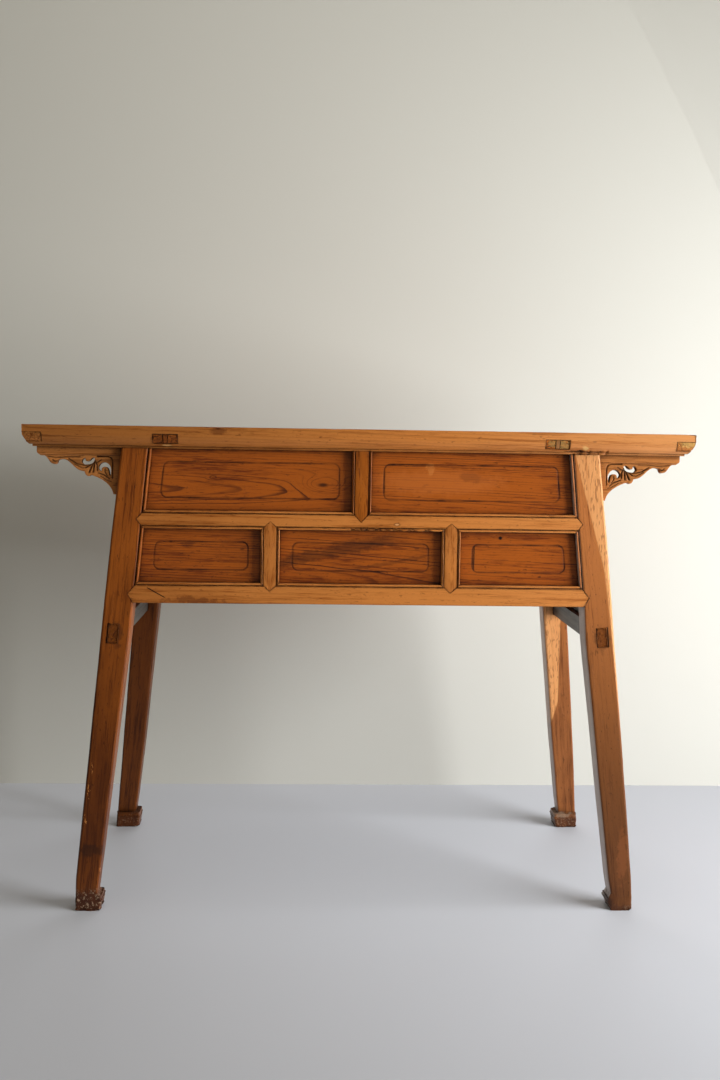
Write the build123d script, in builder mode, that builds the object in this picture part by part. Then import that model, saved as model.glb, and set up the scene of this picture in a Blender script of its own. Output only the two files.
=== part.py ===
from build123d import *
from collections import namedtuple
from math import atan, cos, hypot, sin
import os

# Altar table with everted legs: a framed top on battens, four legs that lean outward both
# ways, and a shallow body of beaded rails and stiles around recessed panels.
# Origin on the floor under the middle of the table, +X along its length, -Y to the front.

os.makedirs("parts", exist_ok=True)

# ---------------------------------------------------------------- driving dimensions (mm)
TABLE_HEIGHT = 880

TOP_LENGTH = 1220
TOP_DEPTH = 430
TOP_THICKNESS = 40
TOP_RAIL_WIDTH = 80
EDGE_BAND = 16           # upright band above the edge moulding
EDGE_OVOLO = 12          # how far the round of the moulding runs in
EDGE_BELLY = 2.5         # fullness of the round
EDGE_LIP = 4             # step and height of the small lip under the round
TOP_ARRIS = 1.5

BOARD_THICKNESS = 14
BOARD_TONGUE = 8         # reach of the boards' tongues into the top frame
BOARD_TONGUE_THICKNESS = 7
BOARD_JOINT = 5          # tongue between the two boards
BOARD_JOINT_THICKNESS = 4

BATTEN_INSET = 80.5      # from the legs' outer faces to the middle of each batten
BATTEN_WIDTH = 51
BATTEN_HEIGHT = 20
BATTEN_SHOULDER = 3
DOVETAIL_HEIGHT = 5
DOVETAIL_NECK = 24
DOVETAIL_FLARE = 3
WEDGE_WIDTH = 8
WEDGE_TIP = 3
WEDGE_LENGTH = 32

CORNER_TONGUE_WIDTH = 35     # end-grain tongue of the end rails, from the table's end inward
CORNER_TONGUE_HEIGHT = 17
CORNER_TONGUE_RISE = 9       # above the top's underside

END_OVERHANG = 174       # of the top past the legs' outer faces, at its underside
FRONT_OVERHANG = 15
SPLAY_X = 77             # how far the feet stand out past the heads of the legs
SPLAY_Y = 59
LEG_WIDTH = 50
LEG_ANKLE = 39
LEG_ROUNDING = 5
LEG_TENON = 22
LEG_TENON_HEIGHT = 24
TAPER_DROP = 285         # below the top's underside, where the legs start to taper
FOOT_HEIGHT = 31
TOE_LEDGE = 8            # how far the scroll toe stands out at its top, middle and sole
TOE_SWELL = 12
TOE_SOLE = 7
TOE_SWELL_HEIGHT = 23

UPPER_OPENING = 111      # heights on the leaning front face, from the top downwards
MIDDLE_RAIL = 34
LOWER_OPENING = 97
LOWER_RAIL = 38
SIDE_OPENING = 317
SIDE_RAIL = 36

RAIL_DEPTH = 36
SIDE_RAIL_DEPTH = 30
STILE_DEPTH = 32
SHOULDER_DEPTH = 10      # thickness of the pointed shoulders let into the faces
MIDDLE_POINT = 15        # reach of each pointed shoulder past the edge of its opening
LOWER_POINT = 17
LOWER_POINT_DROP = 22    # the lower rail's point sits below its middle
SIDE_POINT = 15
CENTRE_STILE = 36
CENTRE_POINT = 19
LOWER_STILE = 35
STILE_POINT = 15
LOWER_STILE_SPACING = 330

TENON_THICKNESS = 12
TENON_LENGTH = 25
TENON_SHOULDER = 6       # above and below each blind tenon
THROUGH_TENON = 19       # thickness of the side rails' through tenons
STILE_TENON_LENGTH = 13
STILE_TENON_MARGIN = 2   # wood between a panel's groove and a stile's tenon

BEAD = 5
QUIRK = 1.2              # groove beside each bead

PANEL_SETBACK = 12
PANEL_THICKNESS = 7
PANEL_TONGUE = 7
PANEL_TOP_TONGUE = 5
GROOVE_CLEARANCE = 1     # room beyond each tongue for the panel or board to swell
FIELD_INSET = 23
FIELD_RISE = 3.5
FIELD_CORNER = 11
FIELD_ROUND = 2.5

REAR_RAIL_SETBACK = 3
REAR_RAIL_DEPTH = 30

SPANDREL_LENGTH = 153    # along the underside, from the leg
SPANDREL_DROP = 84       # down the leg
SPANDREL_END = 10        # height of its outer end
SPANDREL_SETBACK = 15
SPANDREL_THICKNESS = 15
SPANDREL_BAND = 13       # plain band along the top of each spandrel
SPANDREL_BAND_RISE = 3
SPANDREL_BAND_BEVEL = 3
SPANDREL_HOUSING = 6     # let into the leg and the top this deep
DRAWN_LENGTH = 150       # the carved outlines are drawn for this length and drop
DRAWN_DROP = 84

# ---------------------------------------------------------------- derived places
UNDERSIDE = TABLE_HEIGHT - TOP_THICKNESS
HALF_X = TOP_LENGTH / 2
HALF_Y = TOP_DEPTH / 2
LEG_TOP_X = HALF_X - END_OVERHANG
LEG_TOP_Y = HALF_Y - FRONT_OVERHANG
LEG_FLOOR_X = LEG_TOP_X + SPLAY_X
LEG_FLOOR_Y = LEG_TOP_Y + SPLAY_Y
LEG_RUN = hypot(SPLAY_X, SPLAY_Y, UNDERSIDE)
LEAN_X = atan(SPLAY_X / UNDERSIDE)
LEAN_Y = atan(SPLAY_Y / UNDERSIDE)

TENON_SETBACK = PANEL_SETBACK + PANEL_THICKNESS
STILE_TENON_SHOULDER = PANEL_TONGUE + GROOVE_CLEARANCE + STILE_TENON_MARGIN

MIDDLE_TOP = -UPPER_OPENING
MIDDLE_BOTTOM = MIDDLE_TOP - MIDDLE_RAIL
LOWER_TOP = MIDDLE_BOTTOM - LOWER_OPENING
LOWER_BOTTOM = LOWER_TOP - LOWER_RAIL
SIDE_TOP = -SIDE_OPENING
SIDE_BOTTOM = SIDE_TOP - SIDE_RAIL

BOARD_BOTTOM = TABLE_HEIGHT - BOARD_THICKNESS
BATTEN_BOTTOM = BOARD_BOTTOM - BATTEN_HEIGHT
HALF_OPENING_X = HALF_X - TOP_RAIL_WIDTH
HALF_OPENING_Y = HALF_Y - TOP_RAIL_WIDTH
SIDES = {-1: "left", 1: "right"}
ENDS = {-1: "front", 1: "rear"}

# ---------------------------------------------------------------- the four leaning faces
# A face is the plane of the legs' outer surfaces on one side of the table: local X runs
# level, local Y up the slope, and the origin lies at the top's underside. Half of it, from
# the middle to the outer edge of a leg, is "span" wide at the top and spreads downwards.
Face = namedtuple("Face", "plane span spread")


def leaning_face(out_x, out_y, reach, lean, span, splay):
    """The leaning face whose level outward direction is (out_x, out_y)."""
    outward = Vector(out_x, out_y, 0)
    normal = outward * cos(lean) + Vector(0, 0, sin(lean))
    origin = outward * reach + Vector(0, 0, UNDERSIDE)
    level = Vector(0, 0, 1).cross(outward)
    plane = Plane(origin=origin, x_dir=level, z_dir=normal)
    return Face(plane, span, splay * cos(lean) / UNDERSIDE)


FACES = {
    "front": leaning_face(0, -1, LEG_TOP_Y, LEAN_Y, LEG_TOP_X, SPLAY_X),
    "rear": leaning_face(0, 1, LEG_TOP_Y, LEAN_Y, LEG_TOP_X, SPLAY_X),
    "left": leaning_face(-1, 0, LEG_TOP_X, LEAN_X, LEG_TOP_Y, SPLAY_Y),
    "right": leaning_face(1, 0, LEG_TOP_X, LEAN_X, LEG_TOP_Y, SPLAY_Y),
}


def edge_at(face, height, inset):
    """Distance from the middle of a face to the line that lies inset from its outer edge."""
    return face.span - face.spread * height - inset


def rail_section(face):
    """Plane across a face's rails: local X is depth into the wood, local Y up the slope."""
    plane = face.plane
    return Plane(origin=plane.origin, x_dir=-plane.z_dir, z_dir=plane.x_dir)


def stile_section(face):
    """Plane across a face's stiles: local X is depth into the wood, local Y level."""
    plane = face.plane
    return Plane(origin=plane.origin, x_dir=-plane.z_dir, z_dir=-plane.y_dir)


def write_piece(builder, name):
    """Label a finished piece and write it to its own file."""
    builder.part.label = name
    export_step(builder.part, f"parts/{name}.step")


# ---------------------------------------------------------------- legs before their joints
def half_span(height, side_x, side_y):
    """Outer corner of a leg at a height above the floor."""
    drop = (UNDERSIDE - height) / UNDERSIDE
    return side_x * (LEG_TOP_X + SPLAY_X * drop), side_y * (LEG_TOP_Y + SPLAY_Y * drop)


def leg_section(side_x, side_y, height, size):
    """Level plane at the centre of a leg's square section."""
    corner_x, corner_y = half_span(height, side_x, side_y)
    return Plane((corner_x - side_x * size / 2, corner_y - side_y * size / 2, height))


def leg_core(side_x, side_y):
    """A leg with its toe and top tenon, before beads and joints."""
    shank = (
        (UNDERSIDE, LEG_WIDTH),
        (UNDERSIDE - TAPER_DROP, LEG_WIDTH),
        (FOOT_HEIGHT, LEG_ANKLE),
    )
    foot = (
        (FOOT_HEIGHT, LEG_ANKLE + TOE_LEDGE),
        (TOE_SWELL_HEIGHT, LEG_ANKLE + TOE_SWELL),
        (0, LEG_ANKLE + TOE_SOLE),
    )
    with BuildPart() as core:
        for length in (shank, foot):
            for height, size in length:
                with BuildSketch(leg_section(side_x, side_y, height, size)):
                    RectangleRounded(size, size, LEG_ROUNDING)
            loft(ruled=True)
        with BuildSketch(leg_section(side_x, side_y, UNDERSIDE, LEG_WIDTH)):
            Rectangle(LEG_TENON, LEG_TENON)
        extrude(amount=LEG_TENON_HEIGHT)
    return core.part


def leg_bead(side_x, side_y, on_front, drop):
    """Round-nosed bead on a leg's inner arris, on its front (or rear) or on its side face."""
    nose = BEAD / 2
    inset = LEG_WIDTH + nose
    body = PANEL_SETBACK - nose
    if on_front:
        centre = (side_x * (LEG_TOP_X - inset), side_y * (LEG_TOP_Y - nose), UNDERSIDE)
        body_at = (0, -side_y * body / 2)
        body_size = (BEAD, body)
    else:
        centre = (side_x * (LEG_TOP_X - nose), side_y * (LEG_TOP_Y - inset), UNDERSIDE)
        body_at = (-side_x * body / 2, 0)
        body_size = (body, BEAD)
    down_the_leg = Vector(side_x * SPLAY_X, side_y * SPLAY_Y, -UNDERSIDE)
    with BuildPart() as bead:
        with BuildSketch(Plane(centre)):
            Circle(nose)
            with Locations(body_at):
                Rectangle(*body_size)
        extrude(amount=drop * LEG_RUN / UNDERSIDE, dir=down_the_leg)
    return bead.part


CORES = {(x, y): leg_core(x, y) for x in SIDES for y in ENDS}


# ---------------------------------------------------------------- rails before their joints
def layer(face, depth, thickness, points):
    """Prism in a face's wood: an outline swept from one depth to another."""
    with BuildPart() as prism:
        with BuildSketch(face.plane.offset(-depth)):
            with BuildLine():
                Polyline(*points, close=True)
            make_face()
        extrude(amount=-thickness)
    return prism.part


def band_outline(face, top, bottom, inset):
    """Outline of a level band between two leg lines."""
    upper = edge_at(face, top, inset)
    lower = edge_at(face, bottom, inset)
    return [(-upper, top), (upper, top), (lower, bottom), (-lower, bottom)]


def pointed_outline(face, top, bottom, point, point_at, lower_inset):
    """Outline of a rail whose ends run to a point on the faces of the legs."""
    bead_inset = LEG_WIDTH + BEAD
    right = [
        (edge_at(face, top, bead_inset), top),
        (edge_at(face, point_at, bead_inset) + point, point_at),
        (edge_at(face, bottom, lower_inset), bottom),
    ]
    return right + [(-across, height) for across, height in reversed(right)]


def rail_blank(face, legs, top, bottom, depth, setback, tenon, points=None):
    """A rail between two legs with its tenons, before grooves and beads. Its body runs to
    the middle of each leg and is then cut back to the leg's face."""
    tenon_setback, tenon_thickness, tenon_shoulder, tenon_inset = tenon
    front = SHOULDER_DEPTH if points else setback
    body = layer(face, front, depth - front, band_outline(face, top, bottom, LEG_WIDTH / 2))
    tenon_outline = band_outline(
        face, top - tenon_shoulder, bottom + tenon_shoulder, tenon_inset
    )
    with BuildPart() as blank:
        add(body)
        for leg in legs:
            add(CORES[leg], mode=Mode.SUBTRACT)
        if points:
            add(layer(face, 0, SHOULDER_DEPTH, points))
        add(layer(face, tenon_setback, tenon_thickness, tenon_outline))
    return blank.part


FRONT = FACES["front"]
REAR = FACES["rear"]
FRONT_LEGS = [(-1, -1), (1, -1)]
REAR_LEGS = [(-1, 1), (1, 1)]
BLIND_TENON = (TENON_SETBACK, TENON_THICKNESS, TENON_SHOULDER, LEG_WIDTH - TENON_LENGTH)

MIDDLE_OUTLINE = pointed_outline(
    FRONT, MIDDLE_TOP, MIDDLE_BOTTOM, MIDDLE_POINT, (MIDDLE_TOP + MIDDLE_BOTTOM) / 2,
    LEG_WIDTH + BEAD,
)
LOWER_OUTLINE = pointed_outline(
    FRONT, LOWER_TOP, LOWER_BOTTOM, LOWER_POINT, LOWER_TOP - LOWER_POINT_DROP, LEG_WIDTH
)
MIDDLE_BLANK = rail_blank(
    FRONT, FRONT_LEGS, MIDDLE_TOP, MIDDLE_BOTTOM, RAIL_DEPTH, 0, BLIND_TENON, MIDDLE_OUTLINE
)
LOWER_BLANK = rail_blank(
    FRONT, FRONT_LEGS, LOWER_TOP, LOWER_BOTTOM, RAIL_DEPTH, 0, BLIND_TENON, LOWER_OUTLINE
)
REAR_MIDDLE_BLANK = rail_blank(
    REAR, REAR_LEGS, MIDDLE_TOP, MIDDLE_BOTTOM, REAR_RAIL_SETBACK + REAR_RAIL_DEPTH,
    REAR_RAIL_SETBACK, BLIND_TENON,
)
REAR_LOWER_BLANK = rail_blank(
    REAR, REAR_LEGS, LOWER_TOP, LOWER_BOTTOM, REAR_RAIL_SETBACK + REAR_RAIL_DEPTH,
    REAR_RAIL_SETBACK, BLIND_TENON,
)


def side_rail_blank(side_x):
    """Low rail at one end of the table, its tenons running right through both legs."""
    face = FACES[SIDES[side_x]]
    middle = (SIDE_TOP + SIDE_BOTTOM) / 2
    points = pointed_outline(face, SIDE_TOP, SIDE_BOTTOM, SIDE_POINT, middle, LEG_WIDTH)
    through = (SHOULDER_DEPTH, THROUGH_TENON, 0, -LEG_WIDTH)
    legs = [(side_x, end_y) for end_y in ENDS]
    blank = rail_blank(face, legs, SIDE_TOP, SIDE_BOTTOM, SIDE_RAIL_DEPTH, 0, through, points)
    with BuildPart() as trimmed:
        add(blank)
        for end in (FRONT, REAR):
            split(bisect_by=end.plane, keep=Keep.BOTTOM)
    return trimmed.part


SIDE_BLANKS = {side_x: side_rail_blank(side_x) for side_x in SIDES}


# ---------------------------------------------------------------- stiles before their joints
def stile_blank(centre, width, top, bottom, top_point, bottom_point):
    """An upright of the front, pointed where it is let into a rail, with its tenons."""
    half = width / 2
    outline = [
        (centre - half, bottom),
        (centre, bottom - bottom_point),
        (centre + half, bottom),
        (centre + half, top),
        (centre, top + top_point),
        (centre - half, top),
    ]
    tenon_half = half - STILE_TENON_SHOULDER
    upper = top + STILE_TENON_LENGTH
    lower = bottom - STILE_TENON_LENGTH
    tenon = [
        (centre - tenon_half, lower),
        (centre + tenon_half, lower),
        (centre + tenon_half, upper),
        (centre - tenon_half, upper),
    ]
    body = [(centre - half, bottom), (centre + half, bottom), (centre + half, top),
            (centre - half, top)]
    with BuildPart() as blank:
        add(layer(FRONT, 0, SHOULDER_DEPTH, outline))
        add(layer(FRONT, SHOULDER_DEPTH, STILE_DEPTH - SHOULDER_DEPTH, body))
        add(layer(FRONT, TENON_SETBACK, TENON_THICKNESS, tenon))
    return blank.part


def centre_stile_blank():
    """The upper stile, its head cut level under the top, with its tenon left standing."""
    raised = stile_blank(0, CENTRE_STILE, STILE_TENON_SHOULDER, MIDDLE_TOP, 0, CENTRE_POINT)
    tenon_half = CENTRE_STILE / 2 - STILE_TENON_SHOULDER
    tenon = [
        (-tenon_half, MIDDLE_TOP),
        (tenon_half, MIDDLE_TOP),
        (tenon_half, STILE_TENON_LENGTH),
        (-tenon_half, STILE_TENON_LENGTH),
    ]
    with BuildPart() as blank:
        add(raised)
        split(bisect_by=Plane.XY.offset(UNDERSIDE), keep=Keep.BOTTOM)
        add(layer(FRONT, TENON_SETBACK, TENON_THICKNESS, tenon))
    return blank.part


LOWER_STILE_X = {side: side * LOWER_STILE_SPACING / 2 for side in SIDES}
CENTRE_BLANK = centre_stile_blank()
LOWER_STILE_BLANKS = {
    side: stile_blank(x, LOWER_STILE, MIDDLE_BOTTOM, LOWER_TOP, STILE_POINT, STILE_POINT)
    for side, x in LOWER_STILE_X.items()
}


# ---------------------------------------------------------------- panels
def leg_jamb(face, side, bead=BEAD):
    """Line of an opening along a leg; a panel reaches behind the bead into the leg."""
    def across(height, into):
        hidden = bead if into > 0 else 0
        return side * (edge_at(face, height, LEG_WIDTH + bead) + hidden + into)
    return across


def stile_jamb(centre, width, side):
    """Line of an opening along a stile that stands on the given side of it."""
    def across(height, into):
        return centre - side * (width / 2 - into)
    return across


Opening = namedtuple("Opening", "face left right top bottom depth raised")


def opening_outline(opening, into, into_top):
    """An opening's outline, grown into the frame around it, or shrunk where into is negative."""
    top = opening.top + into_top
    bottom = opening.bottom - into
    return [
        (opening.left(top, into), top),
        (opening.right(top, into), top),
        (opening.right(bottom, into), bottom),
        (opening.left(bottom, into), bottom),
    ]


def panel_tongue(opening, into):
    """A panel's flat board, reaching this far into the grooves around it."""
    under_top = opening.top == 0
    into_top = into - PANEL_TONGUE + PANEL_TOP_TONGUE if under_top else into
    outline = opening_outline(opening, into, into_top)
    return layer(opening.face, opening.depth, PANEL_THICKNESS, outline)


FRONT_OPENINGS = {
    "front_panel_upper_left": Opening(
        FRONT, leg_jamb(FRONT, -1), stile_jamb(0, CENTRE_STILE, 1),
        0, MIDDLE_TOP, PANEL_SETBACK, True),
    "front_panel_upper_right": Opening(
        FRONT, stile_jamb(0, CENTRE_STILE, -1), leg_jamb(FRONT, 1),
        0, MIDDLE_TOP, PANEL_SETBACK, True),
    "front_panel_lower_left": Opening(
        FRONT, leg_jamb(FRONT, -1), stile_jamb(LOWER_STILE_X[-1], LOWER_STILE, 1),
        MIDDLE_BOTTOM, LOWER_TOP, PANEL_SETBACK, True),
    "front_panel_lower_centre": Opening(
        FRONT, stile_jamb(LOWER_STILE_X[-1], LOWER_STILE, -1),
        stile_jamb(LOWER_STILE_X[1], LOWER_STILE, 1),
        MIDDLE_BOTTOM, LOWER_TOP, PANEL_SETBACK, True),
    "front_panel_lower_right": Opening(
        FRONT, stile_jamb(LOWER_STILE_X[1], LOWER_STILE, -1), leg_jamb(FRONT, 1),
        MIDDLE_BOTTOM, LOWER_TOP, PANEL_SETBACK, True),
}
REAR_OPENINGS = {
    "rear_panel_upper": Opening(
        REAR, leg_jamb(REAR, -1, 0), leg_jamb(REAR, 1, 0),
        0, MIDDLE_TOP, PANEL_SETBACK, False),
    "rear_panel_lower": Opening(
        REAR, leg_jamb(REAR, -1, 0), leg_jamb(REAR, 1, 0),
        MIDDLE_BOTTOM, LOWER_TOP, PANEL_SETBACK, False),
}
SIDE_OPENINGS = {
    f"side_panel_{name}": Opening(
        FACES[name], leg_jamb(FACES[name], -1), leg_jamb(FACES[name], 1),
        0, SIDE_TOP, PANEL_SETBACK, True)
    for name in SIDES.values()
}
OPENINGS = {**FRONT_OPENINGS, **REAR_OPENINGS, **SIDE_OPENINGS}
GROOVES = {
    name: panel_tongue(opening, PANEL_TONGUE + GROOVE_CLEARANCE)
    for name, opening in OPENINGS.items()
}



def panel_head(opening):
    """Head of an end panel, which closes the space between the long rails of the top."""
    half = HALF_OPENING_Y - GROOVE_CLEARANCE
    head = (BOARD_BOTTOM - GROOVE_CLEARANCE - UNDERSIDE) / cos(LEAN_X)
    outline = [(-half, 0), (half, 0), (half, head), (-half, head)]
    return layer(opening.face, opening.depth, PANEL_THICKNESS, outline)


for panel_name, opening in OPENINGS.items():
    face = opening.face
    with BuildPart() as panel:
        add(panel_tongue(opening, PANEL_TONGUE))
        if panel_name in SIDE_OPENINGS:
            add(panel_head(opening))
        if opening.raised:
            with BuildSketch(face.plane.offset(-opening.depth)) as field:
                with BuildLine():
                    Polyline(*opening_outline(opening, -FIELD_INSET, -FIELD_INSET), close=True)
                make_face()
                fillet(field.vertices(), FIELD_CORNER)
            extrude(amount=FIELD_RISE)
            outward = Axis(face.plane.origin, face.plane.z_dir)
            fillet(panel.edges().group_by(outward)[-1], FIELD_ROUND)
    write_piece(panel, panel_name)


# ---------------------------------------------------------------- front rails and stiles
def cut_bead(section, position, member_side, reach):
    """Work a bead on an edge of the current piece: a quirk beside it and a round nose."""
    nose = BEAD / 2
    with BuildSketch(section) as waste:
        with Locations((nose / 2, position + member_side * (BEAD + QUIRK) / 2)):
            Rectangle(nose, BEAD + QUIRK)
        with Locations((nose, position + member_side * nose)):
            Circle(nose, mode=Mode.SUBTRACT)
    extrude(waste.sketch, amount=reach, both=True, mode=Mode.SUBTRACT)


FRONT_GROOVES = [GROOVES[name] for name in FRONT_OPENINGS]
STILE_BLANKS = [CENTRE_BLANK, *LOWER_STILE_BLANKS.values()]

with BuildPart() as front_middle_rail:
    add(MIDDLE_BLANK)
    cut_bead(rail_section(FRONT), MIDDLE_TOP, -1, LEG_FLOOR_X)
    cut_bead(rail_section(FRONT), MIDDLE_BOTTOM, 1, LEG_FLOOR_X)
    for neighbour in FRONT_GROOVES + STILE_BLANKS:
        add(neighbour, mode=Mode.SUBTRACT)
write_piece(front_middle_rail, "front_middle_rail")

with BuildPart() as front_lower_rail:
    add(LOWER_BLANK)
    cut_bead(rail_section(FRONT), LOWER_TOP, -1, LEG_FLOOR_X)
    for neighbour in FRONT_GROOVES + STILE_BLANKS:
        add(neighbour, mode=Mode.SUBTRACT)
write_piece(front_lower_rail, "front_lower_rail")

with BuildPart() as front_centre_stile:
    add(CENTRE_BLANK)
    for edge_side in SIDES:
        edge = edge_side * CENTRE_STILE / 2
        cut_bead(stile_section(FRONT), edge, -edge_side, UNDERSIDE)
    for neighbour in FRONT_GROOVES:
        add(neighbour, mode=Mode.SUBTRACT)
write_piece(front_centre_stile, "front_centre_stile")

for stile_side, stile_x in LOWER_STILE_X.items():
    with BuildPart() as lower_stile:
        add(LOWER_STILE_BLANKS[stile_side])
        for edge_side in SIDES:
            edge = stile_x + edge_side * LOWER_STILE / 2
            cut_bead(stile_section(FRONT), edge, -edge_side, UNDERSIDE)
        for neighbour in FRONT_GROOVES:
            add(neighbour, mode=Mode.SUBTRACT)
    write_piece(lower_stile, f"front_lower_stile_{SIDES[stile_side]}")

# ---------------------------------------------------------------- rear rails
for rail_name, rail in (
    ("rear_middle_rail", REAR_MIDDLE_BLANK),
    ("rear_lower_rail", REAR_LOWER_BLANK),
):
    with BuildPart() as rear_rail:
        add(rail)
        for groove_name in REAR_OPENINGS:
            add(GROOVES[groove_name], mode=Mode.SUBTRACT)
    write_piece(rear_rail, rail_name)

# ---------------------------------------------------------------- side rails
for side_x, side_name in SIDES.items():
    with BuildPart() as side_rail:
        add(SIDE_BLANKS[side_x])
        cut_bead(rail_section(FACES[side_name]), SIDE_TOP, -1, LEG_FLOOR_Y - LEG_WIDTH / 2)
        add(GROOVES[f"side_panel_{side_name}"], mode=Mode.SUBTRACT)
    write_piece(side_rail, f"side_rail_{side_name}")


# ---------------------------------------------------------------- spandrels
# A point of a spandrel is given by how far out it lies from the leg's edge at the underside,
# and how far down the slope. The carved outlines stretch with its length and drop.
LOWER_EDGE = (
    ((144, 15.5), (130, 22.5), (125, 28.8), (119, 31), (113.5, 23.5)),
    ((113.5, 23.5), (97, 23.8), (82.5, 36.5), (66, 42.7)),
    ((66, 42.7), (64, 49), (61.3, 51.3), (55, 49.4)),
    ((55, 49.4), (38.3, 56.2), (20.7, 70.7), (15, 84)),
)
CRESCENT = (
    ((65, 19.3), (69.7, 21), (71.5, 26), (68, 30), (62, 30.7), (54, 29), (48.2, 20)),
    ((48.2, 20), (52.4, 18.2), (57, 23.2), (62.5, 25), (65, 19.3)),
)
HOOK = (
    ((35.5, 43), (41.8, 34), (32.7, 26.3), (20.5, 34), (19.4, 44.8), (20.7, 52.6)),
    ((20.7, 52.6), (23, 43.9), (27.8, 34.6), (32.5, 34.6), (35.5, 43)),
)


def carved(stretches):
    """A carved outline stretched to the spandrel's real length and drop."""
    along = SPANDREL_LENGTH / DRAWN_LENGTH
    down_scale = SPANDREL_DROP / DRAWN_DROP
    return [[(out * along, down * down_scale) for out, down in stretch] for stretch in stretches]


def on_face(face, side, points):
    """Points of a spandrel on its leaning face."""
    return [(side * (face.span + out), -down) for out, down in points]


def pierce(face, side, stretches):
    """Cut a hole whose outer and inner curves meet at two tips."""
    with BuildLine() as outline:
        for stretch in carved(stretches):
            Spline(*on_face(face, side, stretch))
    make_face(outline.edges(), mode=Mode.SUBTRACT)


SPANDRELS = {}
inside = -SPANDREL_HOUSING
for end_name in ENDS.values():
    face = FACES[end_name]
    leg_at_foot = face.spread * SPANDREL_DROP + inside
    leg_at_band = face.spread * SPANDREL_BAND + inside
    edge = carved(LOWER_EDGE)
    plate = [
        edge[0][0],
        (SPANDREL_LENGTH, SPANDREL_END),
        (SPANDREL_LENGTH, inside),
        (inside, inside),
        (leg_at_foot, SPANDREL_DROP),
        edge[-1][-1],
    ]
    band = [
        (SPANDREL_LENGTH, SPANDREL_BAND - SPANDREL_BAND_BEVEL),
        (SPANDREL_LENGTH, inside),
        (inside, inside),
        (leg_at_band, SPANDREL_BAND),
        (SPANDREL_LENGTH - SPANDREL_BAND_BEVEL, SPANDREL_BAND),
    ]
    for local_side in SIDES:
        with BuildPart() as spandrel:
            with BuildSketch(face.plane.offset(-SPANDREL_SETBACK)):
                with BuildLine():
                    Polyline(*on_face(face, local_side, plate))
                    for stretch in edge:
                        Spline(*on_face(face, local_side, stretch))
                make_face()
                pierce(face, local_side, CRESCENT)
                pierce(face, local_side, HOOK)
            extrude(amount=-SPANDREL_THICKNESS)
            with BuildSketch(face.plane.offset(-SPANDREL_SETBACK)):
                with BuildLine():
                    Polyline(*on_face(face, local_side, band), close=True)
                make_face()
            extrude(amount=SPANDREL_BAND_RISE)
        world_side = "right" if (face.plane.x_dir * local_side).X > 0 else "left"
        write_piece(spandrel, f"spandrel_{end_name}_{world_side}")
        SPANDRELS[end_name, world_side] = spandrel.part

# ---------------------------------------------------------------- legs
FRONT_BEAD_DROP = -LOWER_TOP + LOWER_POINT_DROP
SIDE_BEAD_DROP = -SIDE_TOP + SIDE_RAIL / 2
END_RAILS = {-1: [MIDDLE_BLANK, LOWER_BLANK], 1: [REAR_MIDDLE_BLANK, REAR_LOWER_BLANK]}

for side_x, side_name in SIDES.items():
    for end_y, end_name in ENDS.items():
        with BuildPart() as leg:
            add(CORES[side_x, end_y])
            if end_name == "front":
                add(leg_bead(side_x, end_y, True, FRONT_BEAD_DROP))
            add(leg_bead(side_x, end_y, False, SIDE_BEAD_DROP))
            joined = [*END_RAILS[end_y], SIDE_BLANKS[side_x], *GROOVES.values()]
            joined.append(SPANDRELS[end_name, side_name])
            for neighbour in joined:
                add(neighbour, mode=Mode.SUBTRACT)
        write_piece(leg, f"leg_{end_name}_{side_name}")

# ---------------------------------------------------------------- moulded slab of the top
with BuildPart() as slab:
    with BuildSketch(Plane.XY.offset(UNDERSIDE)):
        Rectangle(TOP_LENGTH, TOP_DEPTH)
    extrude(amount=TOP_THICKNESS)
    fillet(slab.faces().sort_by(Axis.Z)[-1].edges(), TOP_ARRIS)
    for inward_x, inward_y, reach, length in (
        (0, 1, HALF_Y, TOP_LENGTH),
        (0, -1, HALF_Y, TOP_LENGTH),
        (1, 0, HALF_X, TOP_DEPTH),
        (-1, 0, HALF_X, TOP_DEPTH),
    ):
        inward = Vector(inward_x, inward_y, 0)
        corner = inward * -reach + Vector(0, 0, UNDERSIDE)
        across = Plane(origin=corner, x_dir=inward, z_dir=inward.cross(Vector(0, 0, 1)))
        band_foot = TOP_THICKNESS - EDGE_BAND
        lip_in = EDGE_OVOLO + EDGE_LIP
        with BuildSketch(across):
            with BuildLine():
                SagittaArc((EDGE_OVOLO, EDGE_LIP), (0, band_foot), EDGE_BELLY)
                Polyline((0, band_foot), (-EDGE_LIP, band_foot), (-EDGE_LIP, 0), (lip_in, 0),
                         (lip_in, EDGE_LIP), (EDGE_OVOLO, EDGE_LIP))
            make_face()
        extrude(amount=length, both=True, mode=Mode.SUBTRACT)
SLAB = slab.part

# ---------------------------------------------------------------- boards and battens
BATTEN_X = {side: side * (LEG_TOP_X - BATTEN_INSET) for side in SIDES}


def dovetail_key(centre):
    """Dovetailed ridge of a batten, which runs across under both boards."""
    neck = DOVETAIL_NECK / 2
    flare = neck + DOVETAIL_FLARE
    head = BOARD_BOTTOM + DOVETAIL_HEIGHT
    with BuildPart() as key:
        with BuildSketch(Plane.XZ):
            with BuildLine():
                Polyline((centre - neck, BOARD_BOTTOM), (centre + neck, BOARD_BOTTOM),
                         (centre + flare, head), (centre - flare, head), close=True)
            make_face()
        extrude(amount=HALF_OPENING_Y, both=True)
    return key.part


KEYS = {side: dovetail_key(centre) for side, centre in BATTEN_X.items()}

with BuildPart() as board_groove:
    groove_reach = BOARD_TONGUE + GROOVE_CLEARANCE
    with BuildSketch(Plane.XY.offset(BOARD_BOTTOM)):
        Rectangle(2 * (HALF_OPENING_X + groove_reach), 2 * (HALF_OPENING_Y + groove_reach))
    extrude(amount=BOARD_TONGUE_THICKNESS)

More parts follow.
